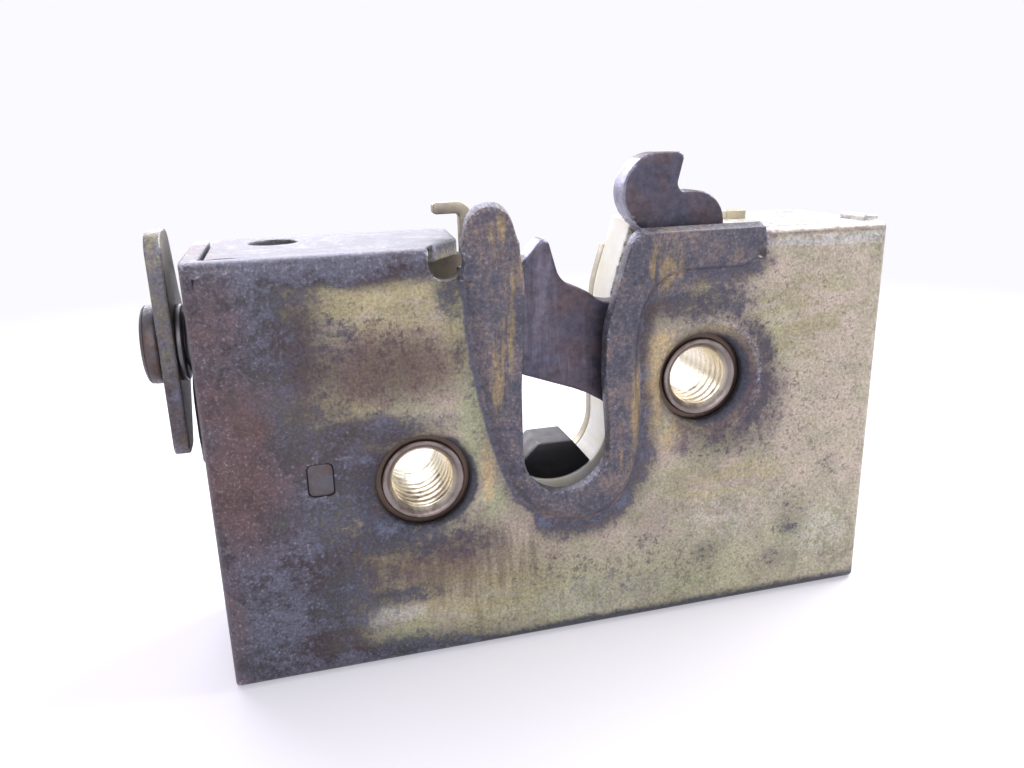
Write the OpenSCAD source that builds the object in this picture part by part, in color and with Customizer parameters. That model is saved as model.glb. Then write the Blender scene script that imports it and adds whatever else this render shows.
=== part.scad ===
// Car door lock with a rotating claw, a ratchet pawl and a folded steel case.
// X runs to the right and Z up, and the front of the case looks along minus Y.
// The claw stands open, and the pawl is lifted clear of it, as just after a release.

/* [Case] */
// Width of the folded case
case_w = 96; // [94:0.5:104]
// Height of the folded case
case_h = 57; // [56:0.5:62]
// Depth of the folded flanges
case_d = 24; // [23:0.5:30]
// Thickness of the case sheet
sheet_t = 2.2; // [1.8:0.1:2.6]
// Outer radius of the flange bends
bend_r = 3; // [2.8:0.1:4]
// Height of the pressed rim round the slot
rim_h = 1.4; // [0.8:0.1:1.6]
// Width of the striker slot
slot_w = 12.8; // [12:0.2:13.4]
// Diameter of the top flange hole
flange_hole_d = 6.4; // [4:0.2:8]

/* [Threaded bushes] */
// Minor diameter of the threaded bore
bore_d = 8.4; // [6.6:0.1:8.6]
// Diameter of the riveted necks
neck_d = 11.3; // [10.8:0.1:11.6]
// Diameter of the bearing barrel
barrel_d = 13; // [12.6:0.1:13.4]
// Radial running clearance of claw and pawl
run_clear = 0.05; // [0.02:0.01:0.09]
// How far the front face lies behind the sheet's face
bush_sink = 1.6; // [1.2:0.1:1.8]

/* [Claw] */
// Thickness of the claw
claw_t = 4; // [3.4:0.1:4.6]
// Gap between the sheet and the claw
claw_gap = 0.5; // [0.4:0.1:0.8]
// Width of the metal round the claw's bearing
claw_hub_wall = 4; // [3:0.1:4.6]
// Diameter of the rubber sleeve that stops the claw
sleeve_d = 8.4; // [7.4:0.1:8.8]

/* [Pawl] */
// Thickness of the pawl
pawl_t = 3.5; // [3:0.1:3.8]
// Width of the metal round the pawl's bearing
pawl_hub_wall = 2.6; // [2:0.1:2.8]
// Turn that lifts the pawl out of the catch, in degrees
pawl_lift = 13; // [12:0.5:14]
// Diameter of the pawl's drive pin
drive_pin_d = 4; // [3.6:0.1:4.4]

/* [Back plate] */
// Thickness of the back plate
plate_t = 2; // [1.6:0.1:2.4]
// Front face of the back plate, from the front of the case
plate_y = 14.2; // [13.8:0.1:15]
// Gap round the back plate inside the flanges
plate_gap = 0.3; // [0.2:0.1:0.6]

/* [Guide and buffer] */
// Wall of the nylon guide
guide_wall = 2; // [1.6:0.1:2.4]
// Radius of the round bottom of the guide
guide_r = 8.1; // [7.8:0.1:8.3]
// Height of the buffer's flat top over the slot's bottom
buffer_h = 4; // [3:0.1:5]

/* [Springs] */
// Wire of the claw spring
claw_wire = 1.5; // [1.2:0.1:1.6]
// Wire of the pawl spring
pawl_wire = 1.4; // [1.1:0.1:1.5]
// Wire of the side lever's spring
side_wire = 1.1; // [0.8:0.1:1.2]

/* [Side lever] */
// Thickness of the side lever
side_t = 2; // [1.6:0.1:2.4]
// Gap between the flange and the side lever
side_gap = 2.2; // [2:0.1:2.6]
// Diameter of the big rivet's head
side_head_d = 10.3; // [9:0.1:12]
// Thickness of the big rivet's head
side_head_t = 2.3; // [1.8:0.1:3]
// Diameter of the big rivet's shank
side_shank_d = 6; // [5:0.1:6.4]
// Turn of the side lever from open to locked, in degrees
side_travel = 20; // [12:1:22]

/* [Rear levers] */
// Thickness of the release lever
release_t = 2; // [1.6:0.1:2.4]
// Diameter of the release rivet's shoulder
release_pin_d = 5.6; // [5.2:0.1:6]
// Thickness of the nylon lock slide
slide_t = 2.5; // [2.2:0.1:2.7]

/* [Hidden] */
$fn = 64;
arc_step = 10;
eps = 0.01;
// Half of the flat that is left at the bottom of the round slots
bottom_flat = 0.3;

// Colours as they look from a step away
zinc = [0.66, 0.60, 0.40];
dull_steel = [0.42, 0.42, 0.46];
claw_steel = [0.25, 0.24, 0.30];
spring_steel = [0.35, 0.35, 0.38];
nylon = [0.92, 0.92, 0.88];
rubber = [0.08, 0.08, 0.09];

// Layers, counted backward from the front face of the sheet
claw_y = sheet_t + claw_gap;
claw_back = claw_y + claw_t;
layer_gap = 0.5;
guide_y = claw_back + layer_gap;
plate_back = plate_y + plate_t;
lever_gap = 0.4;
release_y = plate_back + lever_gap;
release_back = release_y + release_t;
seat = 0.05;

// Pivots: the claw on the right bush and the pawl on the left one
claw_x = 67.5;
claw_z = case_h - 20.6;
pivot_dx = 40.4;
pivot_dz = 10.3;
pawl_x = claw_x - pivot_dx;
pawl_z = claw_z - pivot_dz;
claw_hub_r = barrel_d / 2 + claw_hub_wall;
pawl_hub_r = barrel_d / 2 + pawl_hub_wall;

// Striker slot, placed from the claw's pivot
slot_x = claw_x - 20.8;
slot_r = slot_w / 2;
slot_z = claw_z - 7.1;
slot_left = slot_x - slot_r;
slot_right = slot_x + slot_r;
slot_low = slot_z - slot_r;
slot_mouth = 20;
guide_x = slot_x + 0.8;

// Side lever's pivot on the left flange
side_y = 12.6;
side_z = case_h - 11.7;
side_face = -side_gap;
side_back = side_face - side_t;
side_head_face = side_back - seat - side_head_t;
tab_y = side_y + 8.9;

// Release lever's pivot and the drive pin on the pawl
release_x = pawl_x - 0.1;
release_z = case_h - 7;
drive_r = 12.6;
drive_rest = 80.2 + pawl_lift;
drive_x = pawl_x + drive_r * cos(drive_rest);
drive_z = pawl_z + drive_r * sin(drive_rest);
pin_play = 0.3;

// The bounding box is centred on the origin, with the bottom flange at z = 0
mid_x = (case_w + side_head_face) / 2;
mid_y = (case_d - rim_h) / 2;

// Unit vector
function unit(v) = v / norm(v);

// Point at a radius and an angle
function polar(r, a) = [r * cos(a), r * sin(a)];

// Points of the arc that rounds corner p between its neighbours a and b
function corner_arc(a, p, b, r) =
    let (u = unit(a - p), v = unit(b - p), half = acos(u * v) / 2,
         c = p + unit(u + v) * r / sin(half),
         s = p + u * r / tan(half) - c,
         e = p + v * r / tan(half) - c,
         a0 = atan2(s.y, s.x),
         turn = (atan2(e.y, e.x) - a0 + 540) % 360 - 180,
         n = max(2, ceil(abs(turn) / arc_step)))
    [for (i = [0:n]) c + polar(r, a0 + turn * i / n)];

// Outline whose points are [x, z, corner radius]
function rounded(pts) = [for (i = [0:len(pts) - 1])
    let (n = len(pts), a = pts[(i + n - 1) % n], p = pts[i], b = pts[(i + 1) % n])
    each (p[2] > 0
        ? corner_arc([a.x, a.y], [p.x, p.y], [b.x, b.y], p[2])
        : [[p.x, p.y]])];

// Point on a smooth curve through the points, at t from 0 to 1 after point i
function spline_point(pts, i, t) =
    let (n = len(pts), p0 = pts[max(i - 1, 0)], p1 = pts[i],
         p2 = pts[min(i + 1, n - 1)], p3 = pts[min(i + 2, n - 1)])
    0.5 * (2 * p1 + (p2 - p0) * t + (2 * p0 - 5 * p1 + 4 * p2 - p3) * t * t
        + (3 * p1 - p0 - 3 * p2 + p3) * t * t * t);

// Smooth curve with a number of steps between its points
function spline(pts, steps) = concat(
    [for (i = [0:len(pts) - 2]) for (k = [0:steps - 1]) spline_point(pts, i, k / steps)],
    [pts[len(pts) - 1]]);

module at_origin() { translate([-mid_x, -mid_y, 0]) children(); }

// Plate with its outline in X and Z, from y backward by t
module plate(y, t) {
    translate([0, y + t, 0]) rotate([90, 0, 0]) linear_extrude(t) children();
}

// Plate with its outline in Y and Z, from x to the right by t
module side_plate(x, t) {
    translate([x, 0, 0]) rotate([90, 0, 90]) linear_extrude(t) children();
}

// Round bar along Y between two depths
module bar_y(x, z, y0, y1, d) {
    translate([x, y0, z]) rotate([-90, 0, 0]) cylinder(d = d, h = y1 - y0);
}

// Round bar along X between two places
module bar_x(y, z, x0, x1, d) {
    translate([x0, y, z]) rotate([0, 90, 0]) cylinder(d = d, h = x1 - x0);
}

// Mean of a ring's points
function middle(ring) = [for (p = ring) 1] * ring / len(ring);

// Solid through rings of points that run counter-clockwise seen from the last ring.
// Each end is closed by triangles round a point that sees the whole ring.
module loft(rings, hub_first, hub_last) {
    n = len(rings[0]);
    m = len(rings);
    hubs = [is_undef(hub_first) ? middle(rings[0]) : hub_first,
        is_undef(hub_last) ? middle(rings[m - 1]) : hub_last];
    walls = [for (j = [0:m - 2]) for (i = [0:n - 1])
        let (k = (i + 1) % n, a = j * n + i, b = j * n + k)
        each [[a, b + n, b], [a, a + n, b + n]]];
    first = [for (i = [0:n - 1]) [m * n, i, (i + 1) % n]];
    last = [for (i = [0:n - 1]) [m * n + 1, (m - 1) * n + (i + 1) % n, (m - 1) * n + i]];
    polyhedron(points = concat([for (r = rings) each r], hubs),
        faces = concat(first, last, walls));
}

// Round wire swept along a path
module wire(path, d, sides = 8) {
    n = len(path);
    loft([for (i = [0:n - 1])
        let (t = unit(path[min(i + 1, n - 1)] - path[max(i - 1, 0)]),
             side = unit(cross(t, abs(t.y) < 0.9 ? [0, 1, 0] : [1, 0, 0])),
             up = cross(t, side))
        [for (k = [0:sides - 1])
            path[i] + d / 2 * (side * cos(360 * k / sides) + up * sin(360 * k / sides))]]);
}

// Coil round an axis along Y: the path of its wire
function coil_path(x, z, y0, pitch, r, from, turns) =
    [for (i = [0:turns * 18])
        let (a = from + i * 20, p = polar(r, a))
        [x + p.x, y0 + pitch * i / 18, z + p.y]];

// The folded case of steel sheet

// Block with all four front edges rounded like bends
module bent_block(x0, x1, y0, y1, z0, z1, r) {
    intersection() {
        side_plate(x0, x1 - x0) {
            translate([y0 + r, z0]) square([y1 - y0 - r, z1 - z0]);
            translate([y0, z0 + r]) square([r + eps, z1 - z0 - 2 * r]);
            translate([y0 + r, z0 + r]) circle(r);
            translate([y0 + r, z1 - r]) circle(r);
        }
        translate([0, 0, z0]) linear_extrude(z1 - z0) {
            translate([x0, y0 + r]) square([x1 - x0, y1 - y0 - r]);
            translate([x0 + r, y0]) square([x1 - x0 - 2 * r, r + eps]);
            translate([x0 + r, y0 + r]) circle(r);
            translate([x1 - r, y0 + r]) circle(r);
        }
    }
}

// Ends of the top opening, where the flange is cut away for the claw
open_left = slot_left - 11;
open_right = claw_x + 8.5;
flange_slant = 6.6;
rim_right = open_right - 0.8;
rim_top = case_h + 0.6;
tongue_top = case_h + 4.9;

// Outer edge of the pressed rim, down the left and up the right: x, z and its wall's width
rim_edge = [
    [slot_left - 7, rim_top + 3, 1.2], [slot_left - 7.2, case_h - 3, 1.4],
    [slot_left - 6.6, slot_z + 16.2, 2.6], [slot_left - 5.2, slot_z + 7.2, 2.6],
    [slot_left - 3.2, slot_z - 0.8, 2.6], [slot_left, slot_low - 1.3, 2.4],
    [slot_x - 0.6, slot_low - 4.9, 2], [slot_right - 1.2, slot_low - 4.5, 1.8],
    [slot_right + 2.9, slot_low - 0.5, 1.6], [slot_right + 4.5, slot_z - 0.8, 1.4],
    [slot_right + 3.9, slot_z + 7.2, 1.3], [slot_right + 4, slot_z + 15.2, 1.3],
    [slot_right + 6, case_h - 7, 1.3], [slot_right + 9.8, case_h - 5.2, 1.3],
    [rim_right - 8.3, case_h - 5, 1.2], [rim_right - 3.6, case_h - 4.8, 0.9],
    [rim_right - 1.1, case_h - 3.6, 0.6], [rim_right, case_h - 0.8, 0.5],
    [rim_right + 0.4, rim_top + 3, 0.5]];

// One ring of the rim's wall: the edge curve moved inward by a share of its width
function rim_ring(share, y) =
    let (c = spline(rim_edge, 2), n = len(c))
    [for (i = [0:n - 1])
        let (a = c[max(i - 1, 0)], b = c[min(i + 1, n - 1)],
             d = unit([b.x - a.x, b.y - a.y]))
        [c[i].x - d.y * c[i][2] * share, y, c[i].y + d.x * c[i][2] * share]];

// Pressed form of the rim, whose flat top lies rim_h in front of the level y
module rim_form(y, deep) {
    hub = [slot_x + 3.3, case_h + 1];
    loft([rim_ring(-0.1, y + deep), rim_ring(0.2, y - 0.1 * rim_h),
        rim_ring(0.8, y - 0.9 * rim_h), rim_ring(1, y - rim_h)],
        [hub.x, y + deep, hub.y], [hub.x, y - rim_h, hub.y]);
}

// Slot for the striker: a round bottom, and edges that open out toward the top
module slot_shape(grow = 0) {
    r = slot_r + grow;
    polygon(rounded([
        [slot_x - r, slot_z - r, r - bottom_flat], [slot_x - r, slot_z + 9, 20],
        [slot_x - r + 0.7, slot_z + 23, 12], [slot_x - r + 0.2, case_h - 1, 0],
        [slot_x - r - 0.6, case_h + slot_mouth, 0],
        [slot_x + r + 9, case_h + slot_mouth, 0], [slot_x + r + 9, rim_top, 0],
        [slot_x + r + 2.8, rim_top, 2.6],
        [slot_x + r - 0.9, slot_z + 16, 10], [slot_x + r - 1.1, slot_z + 9.5, 10],
        [slot_x + r, slot_z - r, r - bottom_flat]]));
}

// Raised tongue on the left of the slot, over the top edge
module tongue_shape() {
    polygon(rounded([
        [slot_left - 7.7, case_h - 4, 0], [slot_left - 7.8, case_h - 2.4, 8],
        [slot_left - 6.1, tongue_top, 3.2], [slot_left - 1.3, tongue_top, 2.7],
        [slot_left + 0.4, case_h - 1, 14], [slot_left + 0.7, case_h - 4, 0]]));
}

// Flat sheet in the stretch that has no top flange
module open_edge_shape() {
    translate([open_left, case_h - 12]) square([4, 12 - bend_r + 0.4]);
    translate([open_left + 3, case_h - 12]) square([open_right - open_left - 3, 8]);
}

// Folded box with its flanges, before the rim and the slot are made
module folded_box() {
    difference() {
        bent_block(0, case_w, 0, case_d, 0, case_h, bend_r);
        bent_block(sheet_t, case_w - sheet_t, sheet_t, case_d + 1,
            sheet_t, case_h - sheet_t, bend_r - sheet_t + eps);
        // Top opening with its slanted left end
        translate([0, 0, case_h - 5]) linear_extrude(10)
            polygon([[open_left, -1], [open_left, sheet_t], [open_left + flange_slant - 1.2, 10],
                [open_left + flange_slant, case_d + 1], [open_right, case_d + 1],
                [open_right, -1]]);
        // Seams between the flanges at three corners, the fourth is drawn in one
        for (x = [sheet_t, case_w - sheet_t - seam]) corner_seam(x, case_h - sheet_t);
        corner_seam(case_w - sheet_t - seam, 0);
    }
}

// Seam between two flanges at a corner
seam = 0.5;
module corner_seam(x, z) {
    translate([x, bend_r, z - eps]) cube([seam, case_d, sheet_t + 2 * eps]);
}

// Hole in the front sheet with its edge rolled in
module rolled_hole(x, z) {
    hole_r = neck_d / 2 + 0.75;
    roll = 1.2;
    translate([x, 0, z]) rotate([-90, 0, 0]) {
        translate([0, 0, -1]) cylinder(r = hole_r, h = sheet_t + 2);
        rotate_extrude() difference() {
            translate([0, -1]) square([hole_r + roll, 1 + roll]);
            translate([hole_r + roll, roll]) circle(roll);
        }
    }
}

// Places of the back plate's tabs in the flanges: distance along the flange
bottom_tabs = [18, 68];
left_tab = 10;
right_tab = 24;
top_tab = open_right + 1.7;
top_tab_w = 3.3;
top_tab_rise = 1.3;
tab_w = 10;
tab_play = 0.15;
tab_end = 0.5;

// Slots of the case for the back plate's tabs
module tab_slots() {
    y = plate_y - tab_play;
    t = plate_t + 2 * tab_play;
    w = tab_w + 2 * tab_play;
    for (x = bottom_tabs) translate([x - tab_play, y, -1]) cube([w, t, sheet_t + 2]);
    translate([-1, y, left_tab - tab_play]) cube([sheet_t + 2, t, w]);
    translate([case_w - sheet_t - 1, y, right_tab - tab_play]) cube([sheet_t + 2, t, w]);
    translate([top_tab - tab_play, y, case_h - sheet_t - 1])
        cube([top_tab_w + 2 * tab_play, t, sheet_t + 2]);
}

// Window of the left flange for the side lever's tab
window_z0 = side_z - 5;
window_h = 13;

// Hole of the spacer post's tenon
tenon_w = 2.8;
tenon_h = 3.9;
post_x = pawl_x - 13.4;
post_z = pawl_z + 2.4;
module tenon_shape(grow) {
    w = tenon_w / 2 + grow;
    h = tenon_h / 2 + grow;
    polygon(rounded([[post_x - w, post_z - h, 0.7], [post_x + w, post_z - h, 0.7],
        [post_x + w, post_z + h, 0.7], [post_x - w, post_z + h, 0.7]]));
}

module lock_case() {
    color(zinc) at_origin() difference() {
        union() {
            folded_box();
            plate(0, sheet_t) open_edge_shape();
            // The pressed rim ends at the top edge, and the tongue stands over it
            intersection() {
                rim_form(0, 1);
                translate([0, -5, 0]) cube([case_w, 10, rim_top]);
            }
            plate(-rim_h, sheet_t) tongue_shape();
            // Ear of the drawn corner at the top right
            translate([case_w - sheet_t, bend_r, case_h - bend_r - 1])
                cube([sheet_t, 6, bend_r + 1.7]);
        }
        rim_form(sheet_t, 0.6);
        plate(-rim_h - 1, sheet_t + rim_h + 2) slot_shape();
        rolled_hole(claw_x, claw_z);
        rolled_hole(pawl_x, pawl_z);
        plate(-1, sheet_t + 2) tenon_shape(0.25);
        // Round relief between the top flange and the tongue
        bar_y(open_left + 1.9, case_h - 1.9, -3, 4, 4.3);
        // Hole of the top flange
        translate([10.8, case_d - flange_hole_d, case_h - sheet_t - 1])
            cylinder(d = flange_hole_d, h = sheet_t + 2);
        tab_slots();
        translate([-1, tab_y - 2.6, window_z0]) cube([sheet_t + 2, case_d, window_h]);
        bar_x(side_y, side_z, -1, sheet_t + 1, side_shank_d + 0.1);
    }
}

// The back plate and the post that holds it off the sheet

// Nylon guide's inner outline, which the back plate's cut-out follows
module guide_inner(grow = 0) {
    r = guide_r + grow;
    polygon(rounded([
        [guide_x - r, slot_z - r, r - bottom_flat], [guide_x - r, case_h + 10, 0],
        [guide_x + r + 5.2, case_h + 10, 0], [guide_x + r + 3.1, case_h + 0.6, 0],
        [guide_x + r + 0.4, case_h - 8.5, 14], [guide_x + r - 0.1, slot_z + 9, 14],
        [guide_x + r, slot_z - r, r - bottom_flat]]));
}

module back_plate() {
    lo = sheet_t + plate_gap;
    cut_left = guide_x - guide_r;
    color(zinc) at_origin() {
        // Hook on the left of the slot, open toward the left
        plate(plate_y, plate_t) polygon(rounded([[cut_left - 3.2, case_h - lo - 1, 0],
            [cut_left - 3.2, case_h + 2.9, 0.6], [cut_left - 6.9, case_h + 2.9, 0.5],
            [cut_left - 6.9, case_h + 4.5, 0.5], [cut_left - 1.6, case_h + 4.5, 1.8],
            [cut_left - 1.6, case_h - lo - 1, 0]]));
        difference() {
            plate(plate_y, plate_t) difference() {
                union() {
                    translate([lo, lo]) square([case_w - 2 * lo, case_h - 2 * lo]);
                    for (x = bottom_tabs) translate([x, tab_end]) square([tab_w, lo + 1]);
                    translate([tab_end, left_tab]) square([lo + 1, tab_w]);
                    translate([case_w - lo - 1, right_tab]) square([lo + 1 - tab_end, tab_w]);
                    // Tab through the top flange
                    translate([top_tab, case_h - 6]) square([top_tab_w, 6 + top_tab_rise]);
                }
                guide_inner(0);
                // Notch round the big rivet's closed end
                translate([0, side_z - 6]) square([sheet_t + 2, 12]);
                // Arc slot for the pawl's drive pin
                arc_slot(pawl_x, pawl_z, drive_r, drive_rest - pawl_lift - 4, drive_rest + 6,
                    drive_pin_d + 1);
                tenon_shape(0.05);
            }
            bar_y(claw_x, claw_z, plate_y - 1, plate_back + 1, neck_d + 0.1);
            bar_y(pawl_x, pawl_z, plate_y - 1, plate_back + 1, neck_d + 0.1);
            bar_y(release_x, release_z, plate_y - 1, plate_back + 1, rivet_neck_d + 0.1);
            bar_y(stop_x, stop_z, plate_y - 1, plate_back + 1, stop_pin_d + 0.1);
            for (z = slide_pins_z) bar_y(slide_x, z, plate_y - 1, plate_back + 1, slide_pin_d + 0.1);
            for (p = guide_pegs) bar_y(p.x, p.y, plate_y - 1, plate_back + 1, peg_d + 0.1);
            bar_y(detent_x, detent_z, plate_y - 1, plate_back + 1, detent_rivet_d + 0.1);
        }
    }
}

// Slot along an arc with round ends
module arc_slot(x, z, r, a0, a1, w) {
    polygon(concat(
        [for (k = [0:6]) [x, z] + polar(r + w / 2, a0 + (a1 - a0) * k / 6)],
        [for (a = [20:20:160]) [x, z] + polar(r, a1) + polar(w / 2, a1 + a)],
        [for (k = [6:-1:0]) [x, z] + polar(r - w / 2, a0 + (a1 - a0) * k / 6)],
        [for (a = [200:20:340]) [x, z] + polar(r, a0) + polar(w / 2, a0 + a)]));
}

// Flat post between the sheet and the back plate, with a tenon at each end
module spacer_post() {
    color(dull_steel) at_origin() {
        plate(0.3, plate_back + 0.1 - 0.3) tenon_shape(0);
        translate([post_x - tenon_w / 2, sheet_t, post_z - 5])
            cube([tenon_w, plate_y - sheet_t, 10]);
    }
}

// The two threaded bushes

// Threaded bush with a riveted neck at each end and a cone into its bore
module bush(x, z) {
    cone = 0.9;
    translate([x, 0, z]) rotate([-90, 0, 0]) difference() {
        union() {
            translate([0, 0, bush_sink]) cylinder(d = neck_d, h = plate_back + 0.6 - bush_sink);
            translate([0, 0, sheet_t]) cylinder(d = barrel_d, h = plate_y - sheet_t);
        }
        translate([0, 0, -1]) cylinder(d = bore_d, h = plate_back + 4);
        translate([0, 0, bush_sink - eps])
            cylinder(d1 = bore_d + 2 * cone, d2 = bore_d, h = cone);
    }
}

module claw_bush() { color(dull_steel) at_origin() bush(claw_x, claw_z); }

module pawl_bush() { color(dull_steel) at_origin() bush(pawl_x, pawl_z); }

// The claw, its spring and its stop

// Hook head: a round back, a notch with an undercut catch face, and a round lobe
head_c = [-6.4, 26.0];
head_r = 5.15;
lobe_c = [-1.1, 21.6];
lobe_r = 4.4;
throat_c = [-12.5, 16.9];
throat_r = 5.3;
underside = polar(claw_hub_r - eps, 233);

// Hub and horn, whose right flank is the safety catch
module claw_horn() {
    circle(claw_hub_r);
    polygon(rounded([[-22.3, 21.5, 0.9], [-26.0, 17.4, 2.5], [-26.2, 2.7, 0.8],
        [-16.4, -0.9, 16], [underside.x, underside.y, 0], [0, 0, 0], [-2, 12, 0],
        [-12.9, 11.7, 0], [-20.5, 15.1, 3.2]]));
}

// Neck from the hub to the hook
module claw_neck() {
    polygon([[-10, 0], [-14, 9], [-6.9, 15.2], [-7.2, 17.5], [-8.4, 20.8], [-10.1, 22.4], head_c,
        lobe_c + [0, 2], lobe_c + [lobe_r - 0.1, 0], polar(claw_hub_r - 0.2, 17), [0, -4]]);
}

// Round back of the hook
module claw_back_round() {
    intersection() {
        translate(head_c) circle(head_r);
        translate(head_c + [0.8 - 2 * head_r, -head_r]) square(2 * head_r);
    }
}

// Tip of the hook, with the notch's undercut flank
module claw_tip() {
    polygon(rounded([[-10, 22, 0], [head_c.x, head_c.y + head_r - 0.03, 0],
        [-2.7, 31.1, 0.8], [-4.0, 26.0, 1.1], [lobe_c.x, lobe_c.y + lobe_r - 0.03, 0],
        [lobe_c.x, 20, 0]]));
}

// Throat for the striker, with a straight floor toward the horn
module claw_throat() {
    translate(throat_c) circle(throat_r);
    polygon([throat_c, throat_c + polar(throat_r, 245), [-19.6, 15.3], [-22, 24],
        [-14, 32], [-12, 26], [-10.4, 22.4], [-8.3, 20.9], throat_c + polar(throat_r, 30)]);
}

module claw() {
    color(claw_steel) at_origin() difference() {
        translate([claw_x, 0, claw_z]) {
            plate(claw_y, claw_t) claw_horn();
            plate(claw_y, claw_t) claw_neck();
            plate(claw_y, claw_t) claw_back_round();
            plate(claw_y, claw_t) claw_tip();
            plate(claw_y, claw_t) translate(lobe_c) circle(lobe_r);
        }
        translate([claw_x, 0, claw_z]) plate(claw_y - 1, claw_t + 2) claw_throat();
        bar_y(claw_x, claw_z, claw_y - 1, claw_back + 1, barrel_d + 2 * run_clear);
    }
}

module claw_spring() {
    coil_r = barrel_d / 2 + 1.6;
    y0 = claw_back + 0.3 + claw_wire / 2;
    pitch = claw_wire + 0.25;
    // The first leg passes under the stop pin and rests on it
    stop_r = norm([stop_x - claw_x, stop_z - claw_z]);
    stop_a = atan2(stop_z - claw_z, stop_x - claw_x);
    rest_r = coil_r + (stop_pin_d + claw_wire) / 2 + seat;
    from = stop_a + acos(rest_r / stop_r);
    coil = coil_path(claw_x, claw_z, y0, pitch, coil_r, from, 3);
    leg = polar(1, from - 90);
    start = coil[0];
    end = coil[len(coil) - 1];
    color(spring_steel) at_origin()
        wire(concat([start + [leg.x, 0, leg.y] * 15], coil, [end + [-leg.x, 0, -leg.y] * 6]),
            claw_wire);
}

// Stop that the claw's neck rests on when it is open
stop_x = claw_x + 11.3;
stop_z = claw_z + 13.2;
stop_pin_d = 4.4;
module claw_stop_pin() {
    color(dull_steel) at_origin() bar_y(stop_x, stop_z, sheet_t, plate_back + 0.6, stop_pin_d);
}

module claw_stop_sleeve() {
    color(rubber) at_origin() difference() {
        bar_y(stop_x, stop_z, claw_y, claw_back + 0.2, sleeve_d);
        bar_y(stop_x, stop_z, claw_y - 1, claw_back + 1, stop_pin_d + 0.1);
    }
}

// The pawl, its pin and its spring

// Outline with the nose in the catch, about the pawl's pivot
module pawl_shape() {
    circle(pawl_hub_r);
    polygon(rounded([[7.2, 0, 0], [8.3, 10, 6], [7.4, 18.4, 1.2], [8.1, 20.7, 1],
        [11.3, 20.8, 0.8], [13.4, 18.5, 0.5], [13.9, 20.4, 0.8], [11.4, 23.6, 2],
        [4.5, 25.0, 4], [-2.6, 20, 8], [-8, 4, 0], [0, -4, 0]]));
    // Tail
    polygon(rounded([[-6, -2, 0], [-8.6, -13.0, 2], [-3.6, -14.2, 2], [4, -6, 0]]));
}

module pawl() {
    color(claw_steel) at_origin() difference() {
        translate([pawl_x, 0, pawl_z]) plate(claw_y, pawl_t)
            rotate(pawl_lift) pawl_shape();
        bar_y(pawl_x, pawl_z, claw_y - 1, claw_back + 1, barrel_d + 2 * run_clear);
        bar_y(drive_x, drive_z, claw_y - 1, claw_back + 1, drive_pin_d + 0.02);
    }
}

module pawl_drive_pin() {
    color(dull_steel) at_origin() {
        bar_y(drive_x, drive_z, claw_y, release_back + 0.5, drive_pin_d);
        bar_y(drive_x, drive_z, claw_y + pawl_t, claw_y + pawl_t + 0.8, drive_pin_d + 1.6);
    }
}

module pawl_spring() {
    coil_r = barrel_d / 2 + 1.5;
    y0 = claw_y + pawl_t + 0.4 + pawl_wire / 2;
    pitch = pawl_wire + 0.25;
    coil = coil_path(pawl_x, pawl_z, y0, pitch, coil_r, 190, 3.5);
    start = coil[0];
    end = coil[len(coil) - 1];
    down = polar(1, 190 - 90);
    up = polar(1, 190 + 3.5 * 360 + 90);
    color(spring_steel) at_origin()
        wire(concat([start + [down.x, 0, down.y] * 6], coil, [end + [up.x, 0, up.y] * 5]),
            pawl_wire);
}

// The nylon guide and the rubber buffer

// Pegs that hold the guide in the back plate
peg_d = 3;
guide_pegs = [[guide_x - guide_r - 4.2, slot_z + 15], [guide_x - 1, slot_z - guide_r - 4.6]];
module striker_guide() {
    top = case_h + 1.6;
    color(nylon) at_origin() {
        plate(guide_y, plate_y - guide_y) difference() {
            intersection() {
                guide_inner(guide_wall);
                translate([guide_x - guide_r - guide_wall, slot_z - 20])
                    square([40, top - slot_z + 20]);
            }
            guide_inner();
            translate([guide_x - guide_r - guide_wall - 1, case_h - 5]) square([12, 10]);
        }
        // Ears on the back plate with their pegs
        for (p = guide_pegs) {
            plate(plate_y - 2.4, 2.4) difference() {
                round_bar(p, [guide_x, p.y > slot_z ? p.y : slot_z], 6);
                guide_inner(0.2);
            }
            bar_y(p.x, p.y, plate_y - 1, plate_back + 0.1, peg_d);
        }
    }
}

// Straight bar with a round end, from p part of the way toward q
module round_bar(p, q, w) {
    d = unit([q.x - p.x, q.y - p.y]);
    side = [-d.y, d.x] * w / 2;
    far = [p.x, p.y] + d * 4;
    translate([p.x, p.y]) circle(d = w);
    polygon([[p.x, p.y] + side, far + side, far - side, [p.x, p.y] - side]);
}

module striker_buffer() {
    top = slot_z - slot_r + buffer_h;
    color(rubber) at_origin()
        plate(guide_y + 0.2, plate_y - guide_y - 0.2) intersection() {
            translate([guide_x, slot_z]) circle(guide_r);
            polygon([[guide_x - 8, top - 7], [guide_x - 6, top - 3.4], [guide_x - 2.4, top],
                [guide_x + 2.7, top], [guide_x + 6.4, top - 4.6], [guide_x + 6.4, top - 9],
                [guide_x - 8, top - 9]]);
        }
}

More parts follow.
